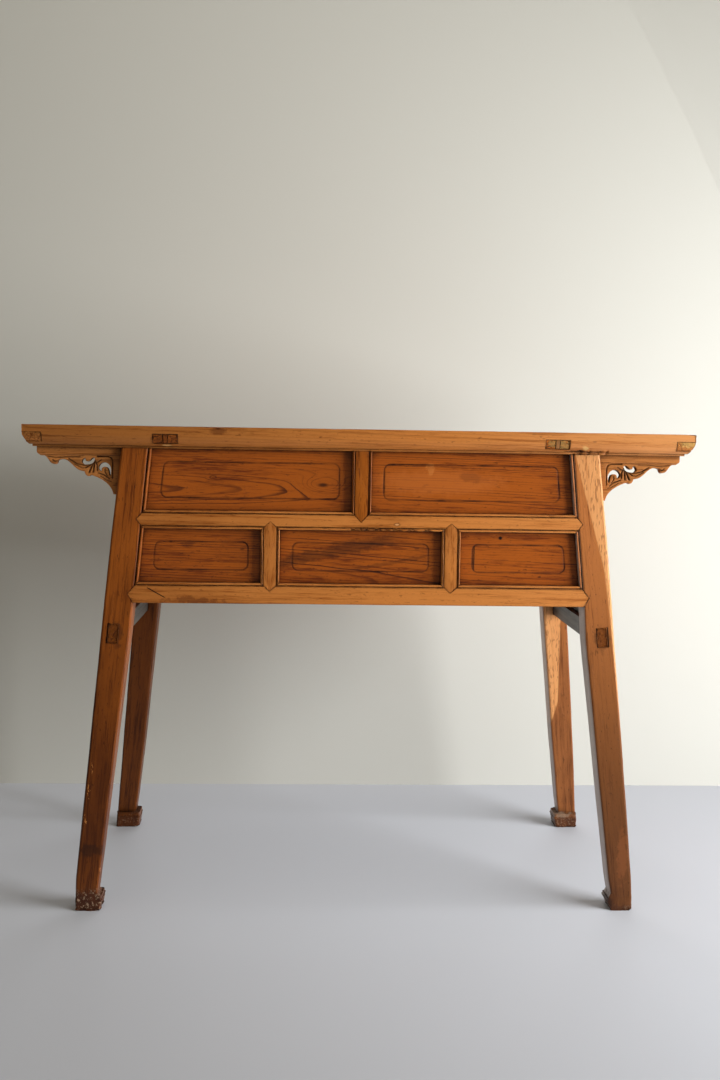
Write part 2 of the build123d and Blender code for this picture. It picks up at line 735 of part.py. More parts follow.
for end_y, end_name in ENDS.items():
    with BuildPart() as top_board:
        with BuildSketch(Plane.XY.offset(BOARD_BOTTOM)):
            with Locations((0, end_y * HALF_OPENING_Y / 2)):
                Rectangle(2 * HALF_OPENING_X, HALF_OPENING_Y)
        extrude(amount=BOARD_THICKNESS)
        with BuildSketch(Plane.XY.offset(BOARD_BOTTOM)):
            with Locations((0, end_y * (HALF_OPENING_Y + BOARD_TONGUE) / 2)):
                Rectangle(2 * (HALF_OPENING_X + BOARD_TONGUE), HALF_OPENING_Y + BOARD_TONGUE)
        extrude(amount=BOARD_TONGUE_THICKNESS)
        joint_foot = BOARD_BOTTOM + (BOARD_THICKNESS - BOARD_JOINT_THICKNESS) / 2
        joint_reach = BOARD_JOINT if end_name == "front" else BOARD_JOINT + GROOVE_CLEARANCE
        joint_mode = Mode.ADD if end_name == "front" else Mode.SUBTRACT
        with BuildSketch(Plane.XY.offset(joint_foot)):
            with Locations((0, joint_reach / 2)):
                Rectangle(2 * HALF_OPENING_X, joint_reach)
        extrude(amount=BOARD_JOINT_THICKNESS, mode=joint_mode)
        for key in KEYS.values():
            add(key, mode=Mode.SUBTRACT)
    write_piece(top_board, f"top_board_{end_name}")

TENON_FOOT = BATTEN_BOTTOM + BATTEN_SHOULDER
BATTEN_TENON = BOARD_BOTTOM - TENON_FOOT

with BuildPart() as wedges:
    for centre in BATTEN_X.values():
        for end_y in ENDS:
            face_y = end_y * HALF_Y
            tip_y = face_y - end_y * WEDGE_LENGTH
            with BuildSketch(Plane.XY.offset(TENON_FOOT)):
                with BuildLine():
                    Polyline((centre - WEDGE_WIDTH / 2, face_y), (centre + WEDGE_WIDTH / 2, face_y),
                             (centre + WEDGE_TIP / 2, tip_y), (centre - WEDGE_TIP / 2, tip_y),
                             close=True)
                make_face()
            extrude(amount=BATTEN_TENON)
    add(SLAB, mode=Mode.INTERSECT)
write_piece(wedges, "batten_wedges")

BATTENS = {}
for side, side_name in SIDES.items():
    with BuildPart() as batten:
        with BuildSketch(Plane.XY.offset(TENON_FOOT)):
            with Locations((BATTEN_X[side], 0)):
                Rectangle(BATTEN_WIDTH - 2 * BATTEN_SHOULDER, TOP_DEPTH)
        extrude(amount=BATTEN_TENON)
        with BuildSketch(Plane.XY.offset(BATTEN_BOTTOM)):
            with Locations((BATTEN_X[side], 0)):
                Rectangle(BATTEN_WIDTH, 2 * HALF_OPENING_Y)
        extrude(amount=BATTEN_HEIGHT)
        add(KEYS[side])
        add(SLAB, mode=Mode.INTERSECT)
        add(wedges.part, mode=Mode.SUBTRACT)
    BATTENS[side] = batten.part
    write_piece(batten, f"top_batten_{side_name}")


# ---------------------------------------------------------------- top frame
def top_prism(points, foot, height):
    """Upright prism on a plan outline, cut to the moulded slab."""
    with BuildPart() as prism:
        with BuildSketch(Plane.XY.offset(foot)):
            with BuildLine():
                Polyline(*points, close=True)
            make_face()
        extrude(amount=height)
        add(SLAB, mode=Mode.INTERSECT)
    return prism.part


TONGUE_IN = HALF_X - CORNER_TONGUE_WIDTH


def corner_tongue(side, end_y):
    """Tongue of an end rail that fills an open slot at the end of a long rail."""
    points = [
        (side * TONGUE_IN, end_y * HALF_Y),
        (side * HALF_X, end_y * HALF_Y),
        (side * TONGUE_IN, end_y * (HALF_Y - CORNER_TONGUE_WIDTH)),
    ]
    return top_prism(points, UNDERSIDE + CORNER_TONGUE_RISE, CORNER_TONGUE_HEIGHT)


TONGUES = {(side, end_y): corner_tongue(side, end_y) for side in SIDES for end_y in ENDS}

for end_y, end_name in ENDS.items():
    plan = [
        (-HALF_X, end_y * HALF_Y),
        (HALF_X, end_y * HALF_Y),
        (HALF_OPENING_X, end_y * HALF_OPENING_Y),
        (-HALF_OPENING_X, end_y * HALF_OPENING_Y),
    ]
    housed = [board_groove.part, *GROOVES.values(), *BATTENS.values(), wedges.part]
    housed += [TONGUES[side, end_y] for side in SIDES]
    housed += [CORES[side, end_y] for side in SIDES]
    housed += [SPANDRELS[end_name, side_name] for side_name in SIDES.values()]
    if end_name == "front":
        housed.append(CENTRE_BLANK)
    with BuildPart() as long_rail:
        add(top_prism(plan, UNDERSIDE, TOP_THICKNESS))
        for neighbour in housed:
            add(neighbour, mode=Mode.SUBTRACT)
    write_piece(long_rail, f"top_{end_name}_rail")

for side, side_name in SIDES.items():
    plan = [
        (side * HALF_X, -HALF_Y),
        (side * HALF_X, HALF_Y),
        (side * HALF_OPENING_X, HALF_OPENING_Y),
        (side * HALF_OPENING_X, -HALF_OPENING_Y),
    ]
    with BuildPart() as end_rail:
        add(top_prism(plan, UNDERSIDE, TOP_THICKNESS))
        for end_y in ENDS:
            add(TONGUES[side, end_y])
        add(board_groove.part, mode=Mode.SUBTRACT)
        for end_name in ENDS.values():
            add(SPANDRELS[end_name, side_name], mode=Mode.SUBTRACT)
    write_piece(end_rail, f"top_{side_name}_end")
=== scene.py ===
from functools import reduce
from math import radians

import bmesh
import bpy
import numpy as np
from mathutils import Euler, Matrix, Vector, noise


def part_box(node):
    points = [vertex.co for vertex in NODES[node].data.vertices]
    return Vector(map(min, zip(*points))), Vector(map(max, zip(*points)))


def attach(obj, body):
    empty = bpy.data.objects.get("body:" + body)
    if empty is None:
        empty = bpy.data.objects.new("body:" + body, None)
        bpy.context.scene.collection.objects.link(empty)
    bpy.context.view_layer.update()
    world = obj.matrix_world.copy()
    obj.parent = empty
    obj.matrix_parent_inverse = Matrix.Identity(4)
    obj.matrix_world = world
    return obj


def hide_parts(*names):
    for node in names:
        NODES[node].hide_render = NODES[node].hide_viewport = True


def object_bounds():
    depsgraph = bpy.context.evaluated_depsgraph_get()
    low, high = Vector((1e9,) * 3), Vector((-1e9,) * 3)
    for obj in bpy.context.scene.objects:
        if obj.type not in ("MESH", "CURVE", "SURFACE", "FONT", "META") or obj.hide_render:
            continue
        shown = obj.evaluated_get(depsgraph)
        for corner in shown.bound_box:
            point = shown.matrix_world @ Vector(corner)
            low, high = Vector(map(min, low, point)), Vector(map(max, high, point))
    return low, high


# The looks of an old Chinese altar table of honey-coloured elm: hand-planed rails and legs with
# worn arrises, red-brown panels, carved spandrels, end-grain patches and battered feet.
# Metres throughout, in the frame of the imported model.

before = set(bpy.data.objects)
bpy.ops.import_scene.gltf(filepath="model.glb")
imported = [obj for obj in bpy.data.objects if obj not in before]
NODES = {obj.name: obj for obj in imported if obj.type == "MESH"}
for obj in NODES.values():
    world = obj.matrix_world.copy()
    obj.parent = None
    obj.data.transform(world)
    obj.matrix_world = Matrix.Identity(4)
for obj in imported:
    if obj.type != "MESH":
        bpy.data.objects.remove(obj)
CAD_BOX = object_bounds()
MM = 0.001
X, Y, Z = range(3)


def mm(*sizes):
    """Millimetres, in metres."""
    return tuple(size * MM for size in sizes)


# ---- places worked out from the frame
BOX_LOW, BOX_HIGH = (Vector(corner) for corner in CAD_BOX)
TOP_LOW, TOP_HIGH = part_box("top_front_rail")
LEG_LOW, LEG_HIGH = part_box("leg_front_right")
UNDERSIDE = TOP_LOW.z
FRONT_EDGE = TOP_LOW.y
END_OVERHANG = 174 * MM  # of the top past the legs
LEG_TOP_X = BOX_HIGH.x - END_OVERHANG


# ---- colours
def srgb(r, g, b):
    """Linear colour from 0-255 display values."""
    def linear(c):
        c /= 255
        return c / 12.92 if c <= 0.04045 else ((c + 0.055) / 1.055) ** 2.4
    return (linear(r), linear(g), linear(b), 1.0)


def shade(colour, share):
    """The same colour, darker below 1 and paler above."""
    return tuple(min(1.0, share * c) for c in colour[:3]) + (1.0,)


# light wood, dark wood, ring line
HONEY = (srgb(224, 145, 72), srgb(148, 80, 26), srgb(88, 38, 11))
AMBER = (srgb(190, 106, 30), srgb(106, 49, 9), srgb(60, 24, 7))
UMBER = (srgb(176, 96, 30), srgb(92, 42, 9), srgb(46, 20, 6))
RUSSET = (srgb(190, 99, 22), srgb(108, 45, 6), srgb(40, 14, 9))
CARVED = (srgb(216, 142, 76), srgb(138, 82, 36), srgb(62, 32, 16))
CHESTNUT = (srgb(190, 118, 62), srgb(108, 58, 26), srgb(56, 28, 14))
STRAW = (srgb(214, 170, 112), srgb(160, 112, 62), srgb(110, 70, 36))
# the sapwood palette, also used to pale wood as painted light
SAPWOOD_OR_LIGHT = (srgb(232, 170, 110), srgb(194, 124, 68), srgb(118, 66, 34))
BARE = (srgb(112, 106, 98), srgb(62, 57, 52), srgb(36, 33, 30))
# a pale grey that paints the reflection of a bright wall on a leg's inner side
WALL_REFLECTION = (srgb(222, 208, 200), srgb(168, 152, 144), srgb(100, 86, 80))

# colours of single marks
SMOKE = srgb(44, 22, 12)
FLECK = srgb(204, 132, 68)
SPLIT = srgb(30, 14, 8)
OLD_OIL = srgb(92, 44, 18)
BRUISE = srgb(84, 38, 16)


# ---- node trees
class Tree:
    """Short names for the few kinds of shader node that a material or world needs."""

    def __init__(self, owner):
        owner.use_nodes = True
        self.owner = owner
        self.tree = owner.node_tree
        self.tree.nodes.clear()

    def node(self, kind, inputs=(), **values):
        """A node with its properties set, and each input linked or set to a plain value."""
        made = self.tree.nodes.new(kind)
        for key, value in values.items():
            setattr(made, key, value)
        for key, value in dict(inputs).items():
            if isinstance(value, bpy.types.NodeSocket):
                self.tree.links.new(value, made.inputs[key])
            elif value is not None:
                made.inputs[key].default_value = value
        return made

    def math(self, operation, a, b=None, clamp=False):
        return self.node("ShaderNodeMath", {0: a, 1: b}, operation=operation, use_clamp=clamp).outputs[0]

    def vector(self, operation, a, b=None, output="Vector"):
        return self.node("ShaderNodeVectorMath", {0: a, 1: b}, operation=operation).outputs[output]

    def dot(self, a, b):
        return self.vector("DOT_PRODUCT", a, b, output="Value")

    def length(self, vector):
        return self.vector("LENGTH", vector, output="Value")

    def part(self, vector, axis):
        return self.node("ShaderNodeSeparateXYZ", {0: vector}).outputs[axis]

    def noise(self, vector, scale, detail=2.0, roughness=0.5, output="Fac", offset=(0, 0, 0)):
        """Noise at a scale for each axis, or one for all."""
        scales = scale if isinstance(scale, tuple) else (scale,) * 3
        moved = self.vector("ADD", self.vector("MULTIPLY", vector, scales), offset)
        inputs = {"Vector": moved, "Scale": 1.0, "Detail": detail, "Roughness": roughness}
        return self.node("ShaderNodeTexNoise", inputs).outputs[output]

    def around(self, value, share):
        """A noise value turned to run evenly about zero, times a share."""
        return self.math("MULTIPLY", self.math("SUBTRACT", value, 0.5), share)

    def ramp(self, value, low, high, out_low=0.0, out_high=1.0):
        inputs = {"Value": value, "From Min": low, "From Max": high, "To Min": out_low, "To Max": out_high}
        return self.node("ShaderNodeMapRange", inputs, interpolation_type="SMOOTHSTEP").outputs["Result"]

    def mix(self, factor, a, b, kind="MIX"):
        inputs = {0: factor, 6: a, 7: b}
        return self.node("ShaderNodeMix", inputs, data_type="RGBA", blend_type=kind).outputs[2]

    def mix_shaders(self, factor, a, b):
        return self.node("ShaderNodeMixShader", {0: factor, 1: a, 2: b}).outputs["Shader"]

    def sum(self, *values, clamp=False):
        return reduce(lambda a, b: self.math("ADD", a, b, clamp), values)

    def product(self, *values):
        return reduce(lambda a, b: self.math("MULTIPLY", a, b), values)

    def finished(self, shader):
        """The material, once its output shows a shader."""
        self.node("ShaderNodeOutputMaterial", {"Surface": shader})
        return self.owner


# ---- wood
# values that a mesh carries for its wood: lines cut into it, darkened as dirt and painted shade, and places
# paled as wear and a painted highlight
CUT_AND_SHADE = "cut_and_shade"
RUBBED_AND_HIGHLIT = "rubbed_and_highlit"

GRAINS = ((1, 0, 0), (0, 1, 0), (0, 0, 1))
KNOT_PULL = 2.3  # how far a knot bends the rings, times its size
GRIME_AND_SHADE = 0.95  # share of dirt and painted shade in the deepest corners
SEAM_REACH = 3 * MM  # how near two pieces meet where dirt settles in their joint
CORNER_REACH = 18 * MM  # how near a corner is shut in by its neighbours, for its painted shade
ARRIS_REACH = 1.5 * MM  # how far the polish and painted highlight of an arris spread
FIBRE_HEIGHT = 0.3 * MM  # of the bump that fibres and pores make


def log_frame(t, coords, grain, pith, tilt):
    """Places as seen from the pith of the log, x along its grain, and the turn to the log's axes."""
    turn = Vector(grain).to_track_quat("X", "Z").to_matrix() @ Euler((0, tilt[0], tilt[1])).to_matrix()
    inputs = {"Vector": coords, "Location": pith, "Rotation": turn.to_euler()}
    return t.node("ShaderNodeMapping", inputs, vector_type="TEXTURE").outputs["Vector"], turn


def distance_from_pith(t, here, shift, wander):
    """How far out in the log a place lies, as the log grew neither straight nor round."""
    drift = t.noise(here, (1.3, 7, 7), 1.0, output="Color", offset=shift)
    drift = t.vector("SUBTRACT", drift, (0.5, 0.5, 0.5))
    ripple = t.noise(here, (10, 60, 60), 2.0, output="Color", offset=shift)
    ripple = t.vector("SUBTRACT", ripple, (0.5, 0.5, 0.5))
    bent = t.vector("ADD", here, t.vector("MULTIPLY", drift, (0, 2 * wander, 2 * wander)))
    bent = t.vector("ADD", bent, t.vector("MULTIPLY", ripple, mm(0, 3, 3)))
    return t.length(t.vector("MULTIPLY", bent, (0, 1, 1)))


def bent_by_knots(t, coords, radius, turn, knots):
    """The distance from the pith as knots bend it, and the share of a knot's dark core in a place."""
    core = None
    across = Vector([abs(c) for c in turn @ Vector((0.4, 1, 1))])
    across.y *= 0.2
    for place, size in knots:
        away = t.vector("MULTIPLY", t.vector("SUBTRACT", coords, place), tuple(across))
        far = t.math("DIVIDE", t.length(away), size)
        pull = t.math("EXPONENT", t.product(far, far, -0.45))
        radius = t.sum(radius, t.product(pull, KNOT_PULL * size))
        heart = t.ramp(far, 0.15, 0.55, 1.0, 0.0)
        core = heart if core is None else t.math("MAXIMUM", core, heart)
    return radius, core


def growth_rings(t, here, radius, shift, ring, late_share, seed):
    """The share of dark late wood in a place, and how far its year had gone, from 0 to 1."""
    count = t.math("DIVIDE", radius, ring)
    year = t.math("FRACT", count)
    numbered = {"W": t.sum(t.math("FLOOR", count), seed)}
    dice = t.node("ShaderNodeTexWhiteNoise", numbered, noise_dimensions="1D").outputs["Value"]
    strength = t.ramp(dice, 0.1, 0.95, 0.1, 1.0)
    late = t.product(t.ramp(year, 1 - late_share, 0.93), t.ramp(year, 0.95, 1.0, 1.0, 0.0))
    patch = t.ramp(t.noise(here, (2.5, 14, 14), 2.0, offset=shift), 0.3, 0.6, 0.3, 1.0)
    return t.product(late, strength, patch), year


def dirt_and_painted_shade(t, coords):
    """The share of dirt and painted shade in a place: dirt in the joints, painted shade in corners and
    recesses, and the darkened cut lines; and how near it is to a joint.
    """
    near = t.node("ShaderNodeAmbientOcclusion", {"Distance": SEAM_REACH}, samples=4).outputs["AO"]
    wide = t.node("ShaderNodeAmbientOcclusion", {"Distance": CORNER_REACH}, samples=4).outputs["AO"]
    seam = t.ramp(near, 0.6, 0.98, 1.0, 0.0)
    # painted shade: corners and recesses shut in by their neighbours are darkened
    painted_corner_shade = t.ramp(wide, 0.28, 0.94, 0.94, 0.0)
    patchy = t.ramp(t.noise(coords, 40, 3.0, 0.6), 0.25, 0.65, 0.6, 1.0)
    dirt_and_shade = t.product(t.math("MAXIMUM", seam, painted_corner_shade), patchy, GRIME_AND_SHADE)
    # cut lines and carved hollows are darkened, as dirt and painted shade
    cut = t.node("ShaderNodeAttribute", attribute_name=CUT_AND_SHADE).outputs["Fac"]
    return t.math("MAXIMUM", dirt_and_shade, t.product(cut, patchy)), seam


def polish_and_highlight(t, coords, true_normal, seam, wear):
    """The share of polish on an arris, worn by hands and painted as a highlight."""
    rounded = t.node("ShaderNodeBevel", {"Radius": ARRIS_REACH}, samples=4).outputs["Normal"]
    turned = t.dot(rounded, true_normal)
    rub = t.ramp(t.noise(coords, 25, 3.0, 0.65), 0.35, 0.62, 0.2, 1.0)
    return t.product(t.ramp(turned, 0.88, 0.985, 1.0, 0.0), t.ramp(seam, 0.0, 0.3, 1.0, 0.0), rub, wear)


def wood(name, palette, grain=GRAINS[X], pith=(0, 0, 0), tilt=(0, 0), ring=6 * MM, lines=0.7, late_share=0.5,
         wander=8 * MM, knots=(), seed=0.0, roughness=0.4, wear=0.2, end_shade=0.75, waxed=0.06, marks=()):
    """Sawn and waxed wood, solid through: growth rings around a pith that lies off the piece,
    bent by knots, with fibres, pores, end grain, dirt in the joints, painted shade in the corners and polish
    with a painted highlight on the arrises."""
    light, dark, line = palette
    shift = (seed * 3.1, seed * 1.7, seed * 2.3)
    t = Tree(bpy.data.materials.new(name))
    coords = t.node("ShaderNodeTexCoord").outputs["Object"]
    true_normal = t.node("ShaderNodeNewGeometry").outputs["True Normal"]
    here, turn = log_frame(t, coords, grain, pith, tilt)
    radius = distance_from_pith(t, here, shift, wander)
    radius, core = bent_by_knots(t, coords, radius, turn, knots)
    rings, year = growth_rings(t, here, radius, shift, ring, late_share, seed)

    # side grain
    streak = t.noise(here, (4, 150, 150), 3.0, 0.6, offset=shift)
    fibre = t.noise(here, (22, 700, 700), 3.0, 0.65, offset=shift)
    blotch = t.noise(here, (2.4, 10, 10), 4.0, 0.6, offset=(seed, -seed, 4.0))
    pore = t.ramp(t.noise(here, (170, 1300, 1300), 1.0, offset=shift), 0.6, 0.7)
    pore = t.product(pore, t.ramp(year, 0.0, 0.5, 1.0, 0.2))
    tone = t.sum(t.around(streak, 2.3), t.around(fibre, 2.3), t.around(blotch, 1.9), 0.4,
                 t.product(rings, 0.5 * lines), clamp=True)
    colour = t.mix(tone, light, dark)
    colour = t.mix(t.product(rings, lines), colour, line)
    colour = t.mix(t.product(pore, 0.5), colour, line)
    fleck = t.ramp(t.noise(here, (70, 240, 240), 2.0, 0.6, offset=shift), 0.655, 0.70)
    colour = t.mix(t.product(fleck, 0.5), colour, line)
    if core is not None:
        colour = t.mix(t.product(core, 0.85), colour, shade(line, 0.5))

    # end grain
    facing = t.math("ABSOLUTE", t.dot(true_normal, tuple(turn @ Vector((1, 0, 0)))))
    end = t.ramp(facing, 0.72, 0.9)
    speckle = t.noise(coords, 420, 4.0, 0.7)
    crumb = t.noise(coords, 160, 3.0, 0.6, offset=shift)
    end_tone = t.sum(t.around(speckle, 2.2), t.around(crumb, 2.5), 0.45, t.product(rings, 0.4), clamp=True)
    end_colour = t.mix(end_tone, shade(light, end_shade), shade(dark, 0.45))
    splinter = t.ramp(t.noise(coords, 330, 3.0, 0.6, offset=shift), 0.6, 0.68)
    end_colour = t.mix(t.product(splinter, 0.55), end_colour, shade(light, 1.25 * end_shade))
    colour = t.mix(end, colour, end_colour)
    for mark in marks:
        colour = mark(t, coords, colour, tone)

    # polish and painted highlight, then dirt and painted shade
    dirt_and_shade, seam = dirt_and_painted_shade(t, coords)
    arris_polish_and_highlight = polish_and_highlight(t, coords, true_normal, seam, wear)
    # raised fields and their ridges are paled, as wear and a painted highlight
    rubbed_and_highlit = t.node("ShaderNodeAttribute", attribute_name=RUBBED_AND_HIGHLIT).outputs["Fac"]
    colour = t.mix(t.product(rubbed_and_highlit, 0.4), colour, shade(light, 1.12))
    # arrises are paled, as polish and a painted highlight
    colour = t.mix(arris_polish_and_highlight, colour, shade(light, 1.5))
    # joints are darkened with dirt, corners and recesses with painted shade
    colour = t.mix(dirt_and_shade, colour, shade(line, 0.22))

    height = t.sum(t.product(rings, -0.8 * lines), t.around(fibre, 0.7), t.product(pore, -0.8),
                   t.product(t.sum(speckle, crumb), end, 2.2))
    bump = t.node("ShaderNodeBump", {"Strength": 0.6, "Distance": FIBRE_HEIGHT, "Height": height})
    dullness = t.sum(t.around(blotch, 0.3), t.product(dirt_and_shade, 0.3), t.product(end, 0.25),
                     t.product(arris_polish_and_highlight, -0.2), roughness, clamp=True)
    shader = t.node("ShaderNodeBsdfPrincipled", {
        "Base Color": colour, "Roughness": dullness, "Specular IOR Level": 0.2,
        "Coat Weight": t.product(t.math("SUBTRACT", 1.0, dirt_and_shade), waxed), "Coat Roughness": 0.18,
        "Normal": bump.outputs["Normal"],
    })
    return t.finished(shader.outputs["BSDF"])


# ---- marks that a wood may carry
# Each gives a function that takes the tree, the place, the colour so far and the wood's own tone.
def sapwood_or_light_patch(*planes, blur=1.5 * MM, waver=5 * MM):
    """The pale outer wood of the log, on the side of each plane that its normal points to; on the rear right
    leg, a painted patch of window light instead.
    """
    def mark(t, coords, colour, tone):
        side = 1.0
        for point, normal in planes:
            away = t.dot(t.vector("SUBTRACT", coords, point), tuple(Vector(normal).normalized()))
            swing = t.around(t.noise(coords, (12, 12, 4), 2.0), waver)
            side = t.product(t.ramp(t.sum(away, swing), -blur, blur), side)
        light, dark, line = SAPWOOD_OR_LIGHT
        pale = t.mix(t.product(tone, 0.8), light, dark)
        dashes = t.ramp(t.noise(coords, (380, 380, 60), 2.0, 0.5), 0.53, 0.64)
        pale = t.mix(t.product(dashes, 0.55), pale, line)
        return t.mix(t.product(side, 0.9), colour, pale)
    return mark


def crack(start, end, width=0.7 * MM, waver=3 * MM, depth=0.9):
    """A dark split that runs between two places on a front face."""
    start, end = Vector((start[0], 0, start[1])), Vector((end[0], 0, end[1]))
    line = end - start
    length = line.length

    def mark(t, coords, colour, tone):
        moved = t.vector("SUBTRACT", coords, tuple(start))
        along = t.dot(moved, tuple(line / length))
        across = t.dot(moved, (-line.z / length, 0, line.x / length))
        across = t.sum(across, t.around(t.noise(coords, (60, 0, 60), 3.0, 0.6), waver))
        near = t.ramp(t.math("ABSOLUTE", across), 0.3 * width, width, 1.0, 0.0)
        begun = t.ramp(along, 0.0, 0.1 * length)
        ending = t.ramp(along, 0.8 * length, length, 1.0, 0.0)
        return t.mix(t.product(near, t.product(begun, ending), depth), colour, SPLIT)
    return mark


def stain(place, size, colour_to, share=0.7, rough=0.4):
    """A soft-edged blot around a place; its size is given along each axis."""
    def mark(t, coords, colour, tone):
        far = t.length(t.vector("DIVIDE", t.vector("SUBTRACT", coords, place), size))
        far = t.sum(far, t.around(t.noise(coords, 70, 4.0, 0.65), 4 * rough))
        return t.mix(t.ramp(far, 0.45, 1.0, share, 0.0), colour, colour_to)
    return mark


def blots(y, depth, *rows):
    """Stains on a front face at y: each has x, z, size across and up in mm, colour, share and roughness."""
    return tuple(
        stain((x, y, z), mm(across, depth, up), colour, share, rough)
        for x, z, across, up, colour, share, rough in rows
    )


def worn_through(place, size):
    """A scatter of small bright scratches around a place, thick in its middle and thin at its rim."""
    def mark(t, coords, colour, tone):
        away = t.length(t.vector("DIVIDE", t.vector("SUBTRACT", coords, place), size))
        middle = t.ramp(away, 0.2, 1.0, 0.0, -0.3)
        specks = t.noise(coords, (330, 330, 150), 3.0, 0.65)
        return t.mix(t.ramp(t.sum(specks, middle), 0.53, 0.6, 0.0, 0.8), colour, FLECK)
    return mark


def painted_light_toward_end(axis, start, end, share):
    """Painted light: wood paled toward one end of its length, where the window's light falls."""
    def mark(t, coords, colour, tone):
        reach = t.ramp(t.part(coords, axis), start, end, 0.0, share)
        return t.mix(reach, colour, t.mix(tone, *SAPWOOD_OR_LIGHT[:2]))
    return mark


def painted_light_and_shade_along(axis, start, end, share_start, share_end):
    """Painted light and shade: the colour scaled along a length, from one share of it to another."""
    def mark(t, coords, colour, tone):
        share = t.ramp(t.part(coords, axis), start, end, share_start, share_end)
        grey = t.node("ShaderNodeCombineXYZ", dict.fromkeys(range(3), share)).outputs[0]
        return t.mix(1.0, colour, grey, kind="MULTIPLY")
    return mark


def bare_or_reflecting_side(normal, palette=BARE, share=1.0):
    """Unwaxed grey wood on the side that faces along the normal; with the pale grey palette, a painted
    reflection instead.
    """
    def mark(t, coords, colour, tone):
        side = t.dot(t.node("ShaderNodeNewGeometry").outputs["True Normal"], normal)
        return t.mix(t.ramp(side, 0.5, 0.8, 0.0, share), colour, t.mix(tone, *palette[:2]))
    return mark


def scuffed_foot(top, share, speckles):
    """Battered wood near the floor: stained dark, with pale bruises."""
    def mark(t, coords, colour, tone):
        uneven = t.around(t.noise(coords, 55, 3.0, 0.6), 0.9 * top)
        height = t.sum(t.part(coords, "Z"), uneven)
        low = t.ramp(height, 0.55 * top, 1.15 * top, 1.0, 0.0)
        colour = t.mix(t.product(low, share), colour, srgb(62, 32, 20))
        chalk = t.ramp(t.noise(coords, 240, 4.0, 0.7), 0.54, 0.62)
        return t.mix(t.product(low, chalk, speckles), colour, srgb(186, 156, 128))
    return mark


def pale_on_right(t, coords, colour, tone):
    """A mark for the wedges, of which the right ones are of paler wood."""
    right = t.ramp(t.part(coords, "X"), 0.0, 1 * MM)
    return t.mix(t.product(right, 0.35), colour, t.mix(tone, *STRAW[:2]))


# ---- worked copies of the CAD shapes
WELD = 0.002 * MM  # points closer than this are one
JOINT_GAP = 0.42 * MM  # each worked piece stands this far back, which leaves fine dark joints
PLANE_MARKS = 0.15 * MM  # height of the waves that a hand plane leaves


def cleaned(node):
    """The node's solid as a welded mesh with its flat faces whole."""
    work = bmesh.new()
    work.from_mesh(NODES[node].data)
    bmesh.ops.remove_doubles(work, verts=work.verts, dist=WELD)
    bmesh.ops.dissolve_limit(work, angle_limit=radians(0.5), verts=work.verts, edges=work.edges)
    return work


def ease_arrises(work, width, angle=radians(28)):
    """Round the outward edges of a solid by a plane's pass."""
    sharp = [e for e in work.edges if len(e.link_faces) == 2 and e.is_convex and e.calc_face_angle(0) > angle]
    bmesh.ops.bevel(work, geom=sharp, offset=width, segments=2, profile=0.6, affect="EDGES",
                    clamp_overlap=True)


def slice_faces(work, axis, low, high, step, inside=None):
    """Cut faces by level planes across an axis, so that they can bend or be worked there."""
    normal = Vector([float(i == axis) for i in range(3)])
    for place in np.arange(low, high, step):
        if inside is None:
            geom = work.verts[:] + work.edges[:] + work.faces[:]
        else:
            faces = [f for f in work.faces if inside(f.calc_center_median())]
            geom = [*{e for f in faces for e in f.edges}, *{v for f in faces for v in f.verts}, *faces]
        point = normal * float(place)
        bmesh.ops.bisect_plane(work, geom=geom, dist=0.01 * MM, plane_co=point, plane_no=normal)


def weave(place, scale, seed):
    """Smooth noise vector for a place, each part from about -1 to 1."""
    return noise.noise_vector(Vector(place) * scale + Vector((seed, seed * 0.7, -seed)))


def settle(place):
    """How far a hundred years have drawn the whole table out of true here."""
    return 0.9 * MM * weave(place, 2.6, 3.7) + 0.4 * MM * weave(place, 12.0, 9.1)


def kept_inside(place):
    """The place, held within the outer box of the model."""
    return Vector([min(max(c, low), high) for c, low, high in zip(place, BOX_LOW, BOX_HIGH)])


def placed(name, data):
    """A new object in the scene."""
    made = bpy.data.objects.new(name, data)
    bpy.context.scene.collection.objects.link(made)
    return made


def meshed(work, name):
    mesh = bpy.data.meshes.new(name)
    work.to_mesh(mesh)
    work.free()
    return mesh


def finish_piece(mesh, node, material):
    """Show a worked mesh in its node's stead, under the mesh's name."""
    mesh.shade_smooth()
    mesh.set_sharp_from_angle(angle=radians(38))
    piece = placed(mesh.name, mesh)
    mesh.materials.clear()
    mesh.materials.append(material)
    weighted = piece.modifiers.new("flat_faces_lead", "WEIGHTED_NORMAL")
    weighted.keep_sharp = True
    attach(piece, "root")
    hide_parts(node)


def joinery(node, slot, axis, palette, step=18 * MM, arris=0.8 * MM, work_on=None, **look):
    """A rail, stile, board or leg along an axis: eased, sliced across, worked and slightly out of true."""
    work = cleaned(node)
    ease_arrises(work, arris)
    spots = [v.co[axis] for v in work.verts]
    slice_faces(work, axis, min(spots) + step, max(spots) - step / 4, step)
    if work_on is not None:
        work_on(work)
    work.normal_update()
    for vert in work.verts:
        place = vert.co.copy()
        moved = place + settle(place) + vert.normal * (PLANE_MARKS * noise.noise(place * 38) - JOINT_GAP)
        vert.co = kept_inside(moved)
    material = wood("elm_" + node, palette, **{"grain": GRAINS[axis], **look})
    finish_piece(meshed(work, "worn_" + node), node, material)


def knocked(work, centre, reach, push, seed=0.0):
    """Bruise the wood around a place: near points are pushed along, unevenly."""
    centre, push = Vector(centre), Vector(push)
    for vert in work.verts:
        far = Vector([a / r for a, r in zip(vert.co - centre, reach)]).length
        if far < 1:
            bite = (1 - far * far) * max(0.0, 0.55 + 0.9 * noise.noise(vert.co * 260 + Vector((seed, 0, 0))))
            vert.co += push * bite


